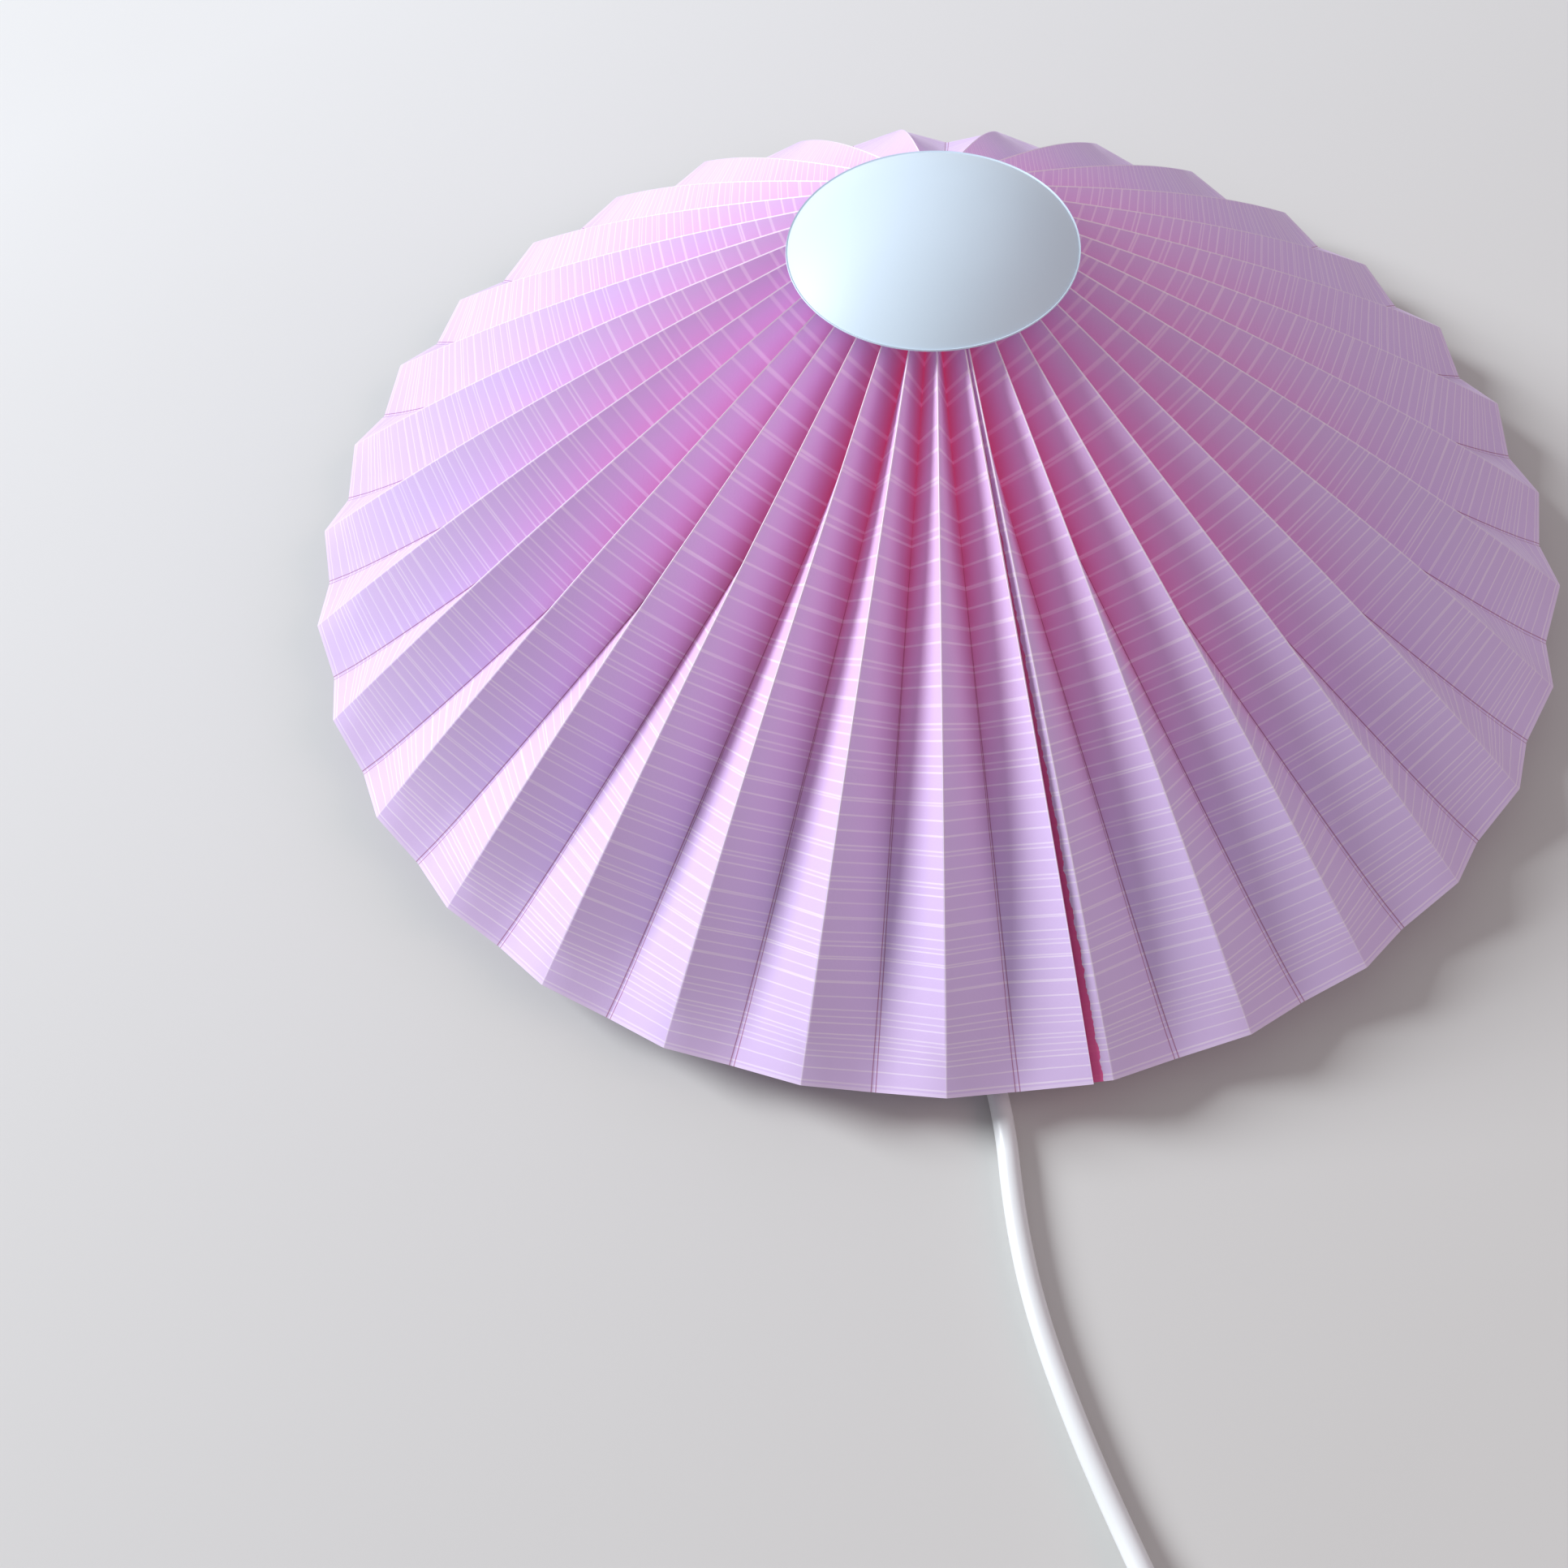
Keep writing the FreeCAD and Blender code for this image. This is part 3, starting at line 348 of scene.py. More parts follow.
def finish_piece(piece, body, bevel=0.0, segments=3):
    """Rounds the edges, shades the faces and hangs the piece on its body."""
    bpy.context.view_layer.objects.active = piece
    if bevel:
        rounding = piece.modifiers.new("rounding", "BEVEL")
        rounding.width = bevel
        rounding.segments = segments
        rounding.limit_method = "ANGLE"
        rounding.angle_limit = math.radians(35)
        bpy.ops.object.modifier_apply(modifier="rounding")
    bpy.ops.object.shade_smooth_by_angle(angle=math.radians(32))
    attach(piece, body)
    print("%-16s %6d faces" % (piece.name, len(piece.data.polygons)))


# %% Helpers that pick, place and join pieces
QUARTER = math.radians(90)


def pick(*pieces):
    """Selects these pieces only and makes the first one active."""
    bpy.ops.object.select_all(action="DESELECT")
    for piece in pieces:
        piece.select_set(True)
    bpy.context.view_layer.objects.active = pieces[0]


def set_down(piece, at, tilt=(0.0, 0.0), heading=0.0):
    """Turns a piece modelled at the origin and carries it to its place, in its mesh."""
    pick(piece)
    piece.rotation_euler = (*tilt, heading)
    piece.location = at
    bpy.ops.object.transform_apply(location=True, rotation=True, scale=True)


def joined(name, pieces):
    pick(*pieces)
    bpy.ops.object.join()
    pieces[0].name = name
    return pieces[0]


# %% [markdown]
# The end cap is a shallow dome pressed from white plastic. Its edge is rounded, and a collar
# inside pushes onto the gallery. It is one closed wall: over the dome, round the edge, back
# inside and down the collar.

# %% End cap
CAP_R, CAP_EDGE_Z, CAP_RISE, CAP_WALL = 0.0397, 0.1250, 0.0135, 0.0018
dome_r = (CAP_R ** 2 + CAP_RISE ** 2) / (2 * CAP_RISE)
dome_z = CAP_EDGE_Z + CAP_RISE - dome_r


def on_dome(radius, inset=0.0):
    return dome_z + math.sqrt((dome_r - inset) ** 2 - radius ** 2)


EDGE = 0.0007
LIP_R = CAP_R - 0.0001
foot = (LIP_R - EDGE * 0.35, CAP_EDGE_Z)
cap_rings = [foot, (LIP_R, CAP_EDGE_Z + EDGE * 0.5), (CAP_R - 0.0002, CAP_EDGE_Z + EDGE)]
for angle in (80, 72, 64, 56, 48, 40, 33, 26, 20, 14, 9, 5, 2):
    r = CAP_R * math.sin(math.radians(angle))
    cap_rings.append((r, on_dome(r)))
cap_rings.append((0.0, CAP_EDGE_Z + CAP_RISE))
cap_dome = turned_piece("cap_dome", cap_rings, "cap", sides=160, closed=False)

COLLAR_IN, COLLAR_OUT, COLLAR_END = 0.01865, 0.02015, 0.1155
collar_top = on_dome(COLLAR_OUT, CAP_WALL)
inner_rings = [foot, (CAP_R - CAP_WALL, CAP_EDGE_Z)]
inner_rings += [(r, on_dome(r, CAP_WALL)) for r in (0.0360, 0.0320, 0.0280, 0.0240, 0.0215)]
inner_rings += [(COLLAR_OUT + 0.0004, collar_top - 0.0003), (COLLAR_OUT, collar_top - 0.0010),
                (COLLAR_OUT, COLLAR_END + 0.0004), (COLLAR_OUT - 0.0004, COLLAR_END),
                (COLLAR_IN + 0.0003, COLLAR_END), (COLLAR_IN, COLLAR_END + 0.0003),
                (COLLAR_IN, on_dome(COLLAR_IN, CAP_WALL) - 0.0006)]
inner_rings += [(r, on_dome(r, CAP_WALL)) for r in (0.0175, 0.0140, 0.0100, 0.0050, 0.0015)]
inner_rings.append((0.0, CAP_EDGE_Z + CAP_RISE - CAP_WALL))
cap_under = turned_piece("cap_underside", inner_rings, "cap",
                         sides=160, closed=False)
end_cap = joined("domed_cap", [cap_dome, cap_under])
bpy.ops.object.mode_set(mode="EDIT")
bpy.ops.mesh.select_all(action="SELECT")
bpy.ops.mesh.remove_doubles(threshold=1e-6)
bpy.ops.mesh.normals_make_consistent(inside=False)
bpy.ops.object.mode_set(mode="OBJECT")
bpy.ops.object.shade_smooth_by_angle(angle=math.radians(40))
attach(end_cap, "cap")
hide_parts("end_cap")
print("domed cap:", len(end_cap.data.polygons), "faces")

# %% [markdown]
# The strain relief is a soft sleeve round the lead where it leaves the base. It could be a
# plain cone, but real ones are cut with grooves so that they bend evenly. It is turned
# upright with its grooves in the outline, then laid along the lead.

# %% Strain relief
EXIT_Z, COVER_R = 0.008, 0.056
FLANGE_R, NECK_R, CUT, SLEEVE_IN = 0.0056, 0.0043, 0.0007, 0.0048
sleeve_rings = [(LEAD_R, 0.0), (FLANGE_R, 0.0), (FLANGE_R, 0.0024), (NECK_R, 0.0024),
                (NECK_R, 0.0049), (FLANGE_R, 0.0049), (FLANGE_R, 0.0086)]
for groove in range(5):
    z, r = 0.0098 + 0.0034 * groove, 0.0053 - 0.00028 * groove
    sleeve_rings += [(r, z), (r - CUT, z + 0.0003), (r - CUT, z + 0.0012),
                     (r - 0.0002, z + 0.0015)]
sleeve_rings += [(0.0040, 0.0300), (0.0038, 0.0328), (0.0032, 0.0328), (LEAD_R, 0.0170)]
strain_relief = turned_piece("strain_relief", sleeve_rings, "fixture",
                             sides=48, bevel=0.0002)
set_down(strain_relief, (0, -(COVER_R - SLEEVE_IN), EXIT_Z), tilt=(QUARTER, 0.0))
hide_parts("cord_gland")

# %% [markdown]
# The bulb is a small opal globe. Its glass swells smoothly out of the screw cap, and the cap
# carries a rolled thread: a thin tube whose wall waves in and out as it winds upwards.

# %% Bulb globe
GLOBE_R, GLOBE_Z, CAP_TOP = 0.0200, 0.0795, 0.0565
globe_rings = [(0.0060, CAP_TOP - 0.004), (0.0064, CAP_TOP), (0.0090, CAP_TOP + 0.0002),
               (0.0093, CAP_TOP + 0.0016), (0.0101, CAP_TOP + 0.0046), (0.0122, CAP_TOP + 0.0078)]
for angle in range(-42, 88, 6):
    a = math.radians(angle)
    globe_rings.append((GLOBE_R * math.cos(a), GLOBE_Z + GLOBE_R * math.sin(a)))
globe_rings.append((0.0, GLOBE_Z + GLOBE_R))
globe = turned_piece("globe", globe_rings, "bulb", sides=96, closed=False)
pick(globe)
give_thickness(globe, 0.0010)
bpy.ops.object.shade_smooth_by_angle(angle=math.radians(40))
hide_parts("bulb_globe")

# %% Rolled thread of the bulb
def threaded_sleeve(name, radius, depth, pitch, z0, z1, body, thickness, sides=40):
    """A thin rolled tube whose wall waves once for each pitch, wound round as a helix."""
    rows = int((z1 - z0) / pitch * 8)
    bpy.ops.object.select_all(action="DESELECT")
    bpy.ops.mesh.primitive_cylinder_add(vertices=sides, radius=radius, depth=z1 - z0,
                                        end_fill_type="NOTHING", location=(0, 0, (z0 + z1) / 2))
    sleeve = bpy.context.object
    sleeve.name = name
    bpy.ops.object.transform_apply(location=True, rotation=True, scale=True)
    bpy.ops.object.mode_set(mode="EDIT")
    bpy.ops.mesh.select_all(action="DESELECT")
    shell = bmesh.from_edit_mesh(sleeve.data)
    upright = [e for e in shell.edges if abs(e.verts[0].co.z - e.verts[1].co.z) > 1e-6]
    bmesh.ops.subdivide_edges(shell, edges=upright, cuts=rows, use_grid_fill=True)
    for v in shell.verts:
        turn = math.atan2(v.co.y, v.co.x) / (2 * math.pi)
        # the wave dies out at both ends, so that they are plain rings
        fade = min((v.co.z - z0) / pitch, (z1 - v.co.z) / pitch, 1.0)
        wave = 0.5 + 0.5 * math.cos(2 * math.pi * ((v.co.z - z0) / pitch - turn))
        r = radius - depth * wave * max(fade, 0.0)
        v.co.x, v.co.y = r * math.cos(turn * 2 * math.pi), r * math.sin(turn * 2 * math.pi)
    bmesh.update_edit_mesh(sleeve.data)
    bpy.ops.mesh.select_all(action="SELECT")
    bpy.ops.mesh.normals_make_consistent(inside=False)
    bpy.ops.object.mode_set(mode="OBJECT")
    give_thickness(sleeve, thickness)
    finish_piece(sleeve, body)
    return sleeve


SCREW_R, SCREW_LOW, SCREW_PITCH = 0.00695, 0.0375, 0.00282
screw_cap = threaded_sleeve("screw_cap", SCREW_R, 0.0007, SCREW_PITCH, SCREW_LOW, CAP_TOP,
                            "bulb", 0.0004)
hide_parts("bulb_screw_cap")

# %% [markdown]
# The lampholder is a stepped barrel. Its skirt and flange are turned, and the upper half
# carries the coarse thread that the shade nut runs on, made like the bulb's, only thicker.

# %% Lampholder
holder_low, holder_top = (corner[2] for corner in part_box("holder_body"))
FLANGE_LOW, FLANGE_TOP, THREAD_R, THREAD_PITCH = 0.0305, 0.0335, 0.0139, 0.0020
holder_rings = [(0.0050, holder_low), (0.0144, holder_low), (0.0150, holder_low + 0.0006),
                (0.0150, FLANGE_LOW - 0.0008), (0.0158, FLANGE_LOW), (0.0166, FLANGE_LOW),
                (0.0170, FLANGE_LOW + 0.0004), (0.0170, FLANGE_TOP - 0.0004), (0.0166, FLANGE_TOP),
                (THREAD_R - 0.0004, FLANGE_TOP), (0.0115, FLANGE_TOP),
                (0.0115, holder_low + 0.0030), (0.0050, holder_low + 0.0030)]
holder_base = turned_piece("holder_base", holder_rings, "fixture", sides=80)
holder_thread = threaded_sleeve("holder_thread", THREAD_R, 0.0006, THREAD_PITCH, FLANGE_TOP,
                                holder_top, "fixture", 0.0017, sides=72)
lampholder = joined("lampholder", [holder_base, holder_thread])
bpy.ops.object.shade_smooth_by_angle(angle=math.radians(40))
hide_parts("holder_body")

# %% [markdown]
# The shade nut is screwed on by hand, so its rim is ribbed for grip. It is made as a smooth
# ring with many sides, and every vertex of the rim is then pushed in by a wave.

# %% Shade nut
nut_low, nut_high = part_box("shade_nut")
NUT_R, NUT_BORE, RIBS, RIB_DEPTH = nut_high[0], 0.01395, 30, 0.0007
low_z, high_z = nut_low[2], nut_high[2]
nut_rings = [(NUT_BORE + 0.0004, low_z), (NUT_R - 0.0012, low_z), (NUT_R - 0.0003, low_z + 0.0006),
             (NUT_R, low_z + 0.0014), (NUT_R, high_z - 0.0014), (NUT_R - 0.0003, high_z - 0.0006),
             (NUT_R - 0.0012, high_z), (NUT_BORE + 0.0004, high_z), (NUT_BORE, high_z - 0.0004),
             (NUT_BORE, low_z + 0.0004)]
ribbed_nut = turned_piece("ribbed_nut", nut_rings, "nut", sides=RIBS * 8)
for v in ribbed_nut.data.vertices:
    reach = Vector((v.co.x, v.co.y, 0.0)).length
    if reach > NUT_R - 0.0008:
        wave = 0.5 - 0.5 * math.cos(RIBS * math.atan2(v.co.y, v.co.x))
        v.co.x *= 1 - RIB_DEPTH * wave / reach
        v.co.y *= 1 - RIB_DEPTH * wave / reach
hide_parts("shade_nut")

# %% [markdown]
# The cover is a shallow dish moulded from white plastic with a hole for the lampholder. A
# cylinder with a sharp edge would catch the light as a hard line, so the shoulder is an arc,
# a bead runs round the foot and a raised lip stiffens the hole.

# %% Cover
COVER_TOP, COVER_WALL, COVER_HOLE, SHOULDER = 0.027, 0.002, 0.0176, 0.007


def arc(centre, radius, start, end, steps=6):
    """(radius, height) points of an arc, angles in degrees from the horizontal."""
    angles = [math.radians(start + (end - start) * i / steps) for i in range(steps + 1)]
    return [(centre[0] + radius * math.cos(a), centre[1] + radius * math.sin(a)) for a in angles]


shoulder_at = (COVER_R - SHOULDER, COVER_TOP - SHOULDER)
cover_rings = [(COVER_R - 0.0003, 0.0), (COVER_R, 0.0004), (COVER_R, 0.0022),
               (COVER_R - 0.0004, 0.0026)]
cover_rings += arc(shoulder_at, SHOULDER - 0.0004, 0, 90)
cover_rings += [(COVER_HOLE + 0.0026, COVER_TOP - 0.0004), (COVER_HOLE + 0.0022, COVER_TOP),
                (COVER_HOLE + 0.0003, COVER_TOP), (COVER_HOLE, COVER_TOP - 0.0003),
                (COVER_HOLE, COVER_TOP - COVER_WALL)]
cover_rings += arc(shoulder_at, SHOULDER - COVER_WALL, 90, 0)
cover_rings += [(COVER_R - COVER_WALL, 0.0)]
base_cover = turned_piece("base_cover", cover_rings, "fixture", sides=144)
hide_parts("cover")

# %% [markdown]
# Boxes with soft corners make the hand switch and the plug. A cube is added at its size, its
# upright edges are bevelled widely and its top edges a little, as a mould maker would draft
# them. Openings are cut with a second box.

# %% A helper for soft boxes
def soft_box(name, low, high, corner, edge, segments=5):
    """Box from corner low to corner high, with wide upright corners and small rounded edges."""
    bpy.ops.object.select_all(action="DESELECT")
    middle = [(a + b) / 2 for a, b in zip(low, high)]
    bpy.ops.mesh.primitive_cube_add(size=1.0, location=middle)
    piece = bpy.context.object
    piece.name = name
    piece.scale = [b - a for a, b in zip(low, high)]
    bpy.ops.object.transform_apply(location=True, rotation=True, scale=True)
    bpy.ops.object.mode_set(mode="EDIT")
    bpy.ops.mesh.select_mode(type="EDGE")
    bpy.ops.mesh.select_all(action="DESELECT")
    shell = bmesh.from_edit_mesh(piece.data)
    for side in shell.edges:
        side.select = abs(side.verts[0].co.z - side.verts[1].co.z) > 1e-6
    bmesh.update_edit_mesh(piece.data)
    bpy.ops.mesh.bevel(offset=corner, segments=segments)
    bpy.ops.mesh.select_all(action="DESELECT")
    shell = bmesh.from_edit_mesh(piece.data)
    for side in shell.edges:
        side.select = len(side.link_faces) == 2 and side.calc_face_angle(0) > 1.0
    bmesh.update_edit_mesh(piece.data)
    bpy.ops.mesh.bevel(offset=edge, segments=3)
    bpy.ops.object.mode_set(mode="OBJECT")
    return piece


def cut_away(piece, cutter):
    """Removes the cutter's shape from a piece, and the cutter with it."""
    pick(piece)
    opening = piece.modifiers.new("opening", "BOOLEAN")
    opening.object = cutter
    opening.operation = "DIFFERENCE"
    opening.solver = "EXACT"
    bpy.ops.object.modifier_apply(modifier="opening")
    bpy.data.objects.remove(cutter)


# %% Hand switch
SWITCH_AT = Vector((0.070, -0.328, 0.0))
SWITCH_HEADING = math.atan2(-0.893, 0.45)
SWITCH_LEN, SWITCH_W, SWITCH_H = 0.062, 0.026, 0.017
SLOT_LONG, SLOT_WIDE = 0.0184, 0.0112
CORNER, SLOT_DEEP, HALF_GAP = 0.008, 0.0065, 0.0001
half_w, mid_x, parting = SWITCH_W / 2, SWITCH_LEN / 2, SWITCH_H / 2
lower_half = soft_box("switch_lower", (0, -half_w, 0),
                      (SWITCH_LEN, half_w, parting - HALF_GAP), CORNER, 0.0004)
upper_half = soft_box("switch_upper", (0, -half_w, parting + HALF_GAP),
                      (SWITCH_LEN, half_w, SWITCH_H), CORNER, 0.0016)
slot = soft_box("slot_cutter", (mid_x - SLOT_LONG / 2, -SLOT_WIDE / 2, SWITCH_H - SLOT_DEEP),
                (mid_x + SLOT_LONG / 2, SLOT_WIDE / 2, SWITCH_H + 0.004), 0.0008, 0.0002)
cut_away(upper_half, slot)
for half, node, in ((lower_half, "switch_bottom"), (upper_half, "switch_top")):
    set_down(half, SWITCH_AT, heading=SWITCH_HEADING)
    finish_piece(half, "fixture")
    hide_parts(node)

# %% Plug
PLUG_AT = Vector((0.006, -0.3915, 0.007))
PLUG_HEADING = math.atan2(0.65, -0.76)
PLUG_TAIL, PLUG_LEN, PLUG_W, PLUG_T = 0.032, 0.036, 0.034, 0.014
BACK_W, BACK_THINNER, TAPER, TAPER_LEN = 0.012, 0.16, 0.010, 0.012
GRIPS, GRIPS_FROM, GRIP_STEP, GRIP_WIDE, GRIP_HALF = 5, 0.014, 0.0032, 0.0016, 0.0095
NOTCH = 0.0006
plug_block = soft_box("plug_block", (PLUG_TAIL - 0.002, -PLUG_W / 2, -PLUG_T / 2),
                      (PLUG_TAIL + PLUG_LEN, PLUG_W / 2, PLUG_T / 2), 0.0022, 0.0022, segments=4)
bpy.ops.object.mode_set(mode="EDIT")
for station in (TAPER, GRIPS_FROM, 0.018):
    bpy.ops.mesh.select_all(action="SELECT")
    bpy.ops.mesh.bisect(plane_co=(PLUG_TAIL + station, 0, 0), plane_no=(1, 0, 0))
bpy.ops.object.mode_set(mode="OBJECT")
# the back of the block narrows towards the lead
for v in plug_block.data.vertices:
    near = min(max((PLUG_TAIL + TAPER - v.co.x) / TAPER_LEN, 0.0), 1.0)
    v.co.y *= 1.0 - near * (1.0 - BACK_W / PLUG_W)
    v.co.z *= 1.0 - near * BACK_THINNER
grips = []
for rib in range(GRIPS):
    x = PLUG_TAIL + GRIPS_FROM + rib * GRIP_STEP
    for low, height in ((-PLUG_T / 2 + 0.0002, 0.0008), (PLUG_T / 2 - 0.0006, 0.0010)):
        grips.append(soft_box("grip", (x, -GRIP_HALF, low),
                              (x + GRIP_WIDE, GRIP_HALF, low + height),
                              0.0005, 0.0003, segments=2))
tail_rings = [(LEAD_R, 0.0), (0.0039, 0.0), (0.0040, 0.0030)]
for groove in range(6):
    z, r = 0.0045 + 0.0040 * groove, 0.0041 + 0.00024 * groove
    tail_rings += [(r, z), (r - NOTCH, z + 0.0003), (r - NOTCH, z + 0.0016),
                   (r + 0.0001, z + 0.0019)]
tail_rings += [(0.0056, 0.0300), (0.0056, 0.0330), (LEAD_R, 0.0330)]
tail = turned_piece("plug_tail", tail_rings, "fixture", sides=48)
set_down(tail, (0, 0, 0), tilt=(0.0, QUARTER))
plug = joined("two_pin_plug", [plug_block, tail] + grips)
set_down(plug, PLUG_AT, heading=PLUG_HEADING)
finish_piece(plug, "fixture")
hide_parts("plug_body")

# %% [markdown]
# The coil is held by a strap of woven hook-and-loop tape. It wraps the bundle as one band
# with rounded turns, and its free end lies doubled on top.

# %% Strap round the coil
BAND_T, BAND_W, BAND_ROUND, END_IN = 0.0010, 0.0100, 0.0028, 0.004
STRAP_HEADING = math.radians(265)
band_in, band_out = 0.0207, 0.0450
band_low, band_high = 0.0012, 0.0134
bpy.ops.object.select_all(action="DESELECT")
bpy.ops.mesh.primitive_plane_add(size=1.0)
strap = bpy.context.object
strap.name = "coil_strap"
strap.scale = (band_out - band_in, band_high - band_low, 1.0)
strap.rotation_euler = (QUARTER, 0, 0)
strap.location = ((band_in + band_out) / 2, -BAND_W / 2, (band_low + band_high) / 2)
bpy.ops.object.transform_apply(location=True, rotation=True, scale=True)
bpy.ops.object.mode_set(mode="EDIT")
bpy.ops.mesh.select_mode(type="VERT")
bpy.ops.mesh.select_all(action="SELECT")
bpy.ops.mesh.delete(type="ONLY_FACE")
bpy.ops.mesh.select_all(action="SELECT")
bpy.ops.mesh.bevel(offset=BAND_ROUND, segments=6, affect="VERTICES")
bpy.ops.mesh.select_all(action="SELECT")
bpy.ops.mesh.extrude_region_move(TRANSFORM_OT_translate={"value": (0, BAND_W, 0)})
bpy.ops.mesh.select_all(action="SELECT")
bpy.ops.mesh.normals_make_consistent(inside=False)
bpy.ops.object.mode_set(mode="OBJECT")
give_thickness(strap, BAND_T, offset=1.0)
free_end = soft_box("free_end", (band_in + END_IN, -BAND_W / 2, band_high + BAND_T),
                    (band_out - END_IN, BAND_W / 2, band_high + 2 * BAND_T), 0.0020, 0.0003)
strap = joined("coil_strap", [strap, free_end])
set_down(strap, COIL_AT, heading=STRAP_HEADING)
finish_piece(strap, "fixture", bevel=0.0002, segments=2)
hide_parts("coil_tie")

# %% [markdown]

# %% [markdown]
# Every finish is built from nodes. Effects that more than one finish uses are node groups:
# fine grain and mottling for mouldings, brushing and tarnish for metal.

# %% Helpers for finishes
def new_finish(name):
    """A material with only its shader and its output."""
    finish = bpy.data.materials.new(name)
    finish.use_nodes = True
    tree = finish.node_tree
    tree.nodes.clear()
    output = tree.nodes.new("ShaderNodeOutputMaterial")
    shader = tree.nodes.new("ShaderNodeBsdfPrincipled")
    tree.links.new(shader.outputs["BSDF"], output.inputs["Surface"])
    return finish, tree, shader


def add_node(tree, kind, inputs=None, **settings):
    """Adds a node; an input is either a value or a socket that is linked to it."""
    node = tree.nodes.new(kind)
    for key, value in settings.items():
        setattr(node, key, value)
    for key, value in (inputs or {}).items():
        if isinstance(value, bpy.types.NodeSocket):
            tree.links.new(value, node.inputs[key])
        else:
            node.inputs[key].default_value = value
    return node


def new_group(name, inputs, outputs):
    """A node group with named sockets: (name, kind, value) each."""
    group = bpy.data.node_groups.new(name, "ShaderNodeTree")
    for label, kind, value in inputs:
        socket = group.interface.new_socket(label, in_out="INPUT", socket_type=kind)
        socket.default_value = value
    for label, kind in outputs:
        group.interface.new_socket(label, in_out="OUTPUT", socket_type=kind)
    return group, group.nodes.new("NodeGroupInput"), group.nodes.new("NodeGroupOutput")


def noise_node(tree, vector, scale, detail, roughness=0.5):
    return add_node(tree, "ShaderNodeTexNoise",
                    {"Vector": vector, "Scale": scale, "Detail": detail,
                     "Roughness": roughness}).outputs["Fac"]


def rescale_node(tree, value, low, high, to_low, to_high, how="LINEAR"):
    """Carries low to high over to to_low to to_high."""
    node = add_node(tree, "ShaderNodeMapRange",
                    {"Value": value, "From Min": low, "From Max": high,
                     "To Min": to_low, "To Max": to_high}, interpolation_type=how)
    return node.outputs["Result"]


def relief_node(tree, strength, distance, height):
    return add_node(tree, "ShaderNodeBump", {"Strength": strength, "Distance": distance,
                                             "Height": height}).outputs["Normal"]


def sum_node(tree, operation, a, b=0.0, c=0.0):
    node = add_node(tree, "ShaderNodeMath", {0: a, 1: b, 2: c}, operation=operation)
    return node.outputs["Value"]


FLOAT, COLOR, VECTOR = "NodeSocketFloat", "NodeSocketColor", "NodeSocketVector"
SURFACE_RESULTS = (("Colour", COLOR), ("Roughness", FLOAT), ("Normal", VECTOR))


def surface_finish(name, group, group_values, shader_values):
    """A finish whose colour, roughness and relief come from one of the shared groups."""
    finish, tree, shader = new_finish(name)
    surface = add_node(tree, "ShaderNodeGroup", group_values, node_tree=group)
    for given, taken in (("Colour", "Base Color"), ("Roughness", "Roughness"),
                         ("Normal", "Normal")):
        tree.links.new(surface.outputs[given], shader.inputs[taken])
    for label, value in shader_values.items():
        shader.inputs[label].default_value = value
    return finish


# %% Node group: moulded surface
moulded_surface, given, result = new_group(
    "moulded_surface",
    [("Colour", COLOR, (0.8, 0.8, 0.8, 1)), ("Grain size", FLOAT, 900.0),
     ("Roughness", FLOAT, 0.4), ("Depth", FLOAT, 0.1)], SURFACE_RESULTS)
group = moulded_surface
where = add_node(group, "ShaderNodeTexCoord").outputs["Object"]
grain = noise_node(group, where, given.outputs["Grain size"], 3.0, 0.6)
cloud = noise_node(group, where, 22.0, 2.0)
tinted = add_node(group, "ShaderNodeVectorMath",
                  {0: given.outputs["Colour"],
                   "Scale": rescale_node(group, cloud, 0.3, 0.7, 0.965, 1.0)}, operation="SCALE")
rough = sum_node(group, "ADD", given.outputs["Roughness"],
                 rescale_node(group, cloud, 0.0, 1.0, -0.04, 0.05))
relief = relief_node(group, given.outputs["Depth"], 0.0002, grain)
for label, value in (("Colour", tinted.outputs["Vector"]), ("Roughness", rough),
                     ("Normal", relief)):
    group.links.new(value, result.inputs[label])


def moulded_finish(name, colour, roughness, grain, depth, coat=0.0):
    return surface_finish(name, moulded_surface,
                          {"Colour": (*colour, 1), "Grain size": grain, "Roughness": roughness,
                           "Depth": depth},
                          {"Coat Weight": coat, "Coat Roughness": 0.15})


# %% Node group: brushed or turned metal
brushed_surface, given, result = new_group(
    "brushed_surface",
    [("Colour", COLOR, (0.6, 0.6, 0.6, 1)), ("Roughness", FLOAT, 0.3),
     ("Stretch", VECTOR, (1, 1, 12))], SURFACE_RESULTS)
group = brushed_surface
where = add_node(group, "ShaderNodeTexCoord").outputs["Object"]
drawn = add_node(group, "ShaderNodeVectorMath", {0: where, 1: given.outputs["Stretch"]},
                 operation="MULTIPLY")
hair = noise_node(group, drawn.outputs["Vector"], 260.0, 4.0)
tarnish = noise_node(group, where, 60.0, 3.0)
toned = add_node(group, "ShaderNodeVectorMath",
                 {0: given.outputs["Colour"],
                  "Scale": rescale_node(group, tarnish, 0.35, 0.75, 1.0, 0.72)}, operation="SCALE")
rough = sum_node(group, "ADD", given.outputs["Roughness"],
                 rescale_node(group, hair, 0.0, 1.0, -0.08, 0.14))
relief = relief_node(group, 0.12, 0.0001, hair)
for label, value in (("Colour", toned.outputs["Vector"]), ("Roughness", rough),
                     ("Normal", relief)):
    group.links.new(value, result.inputs[label])


def metal_finish(name, colour, roughness):
    return surface_finish(name, brushed_surface,
                          {"Colour": (*colour, 1), "Roughness": roughness, "Stretch": (1, 1, 12)},
                          {"Metallic": 1.0})
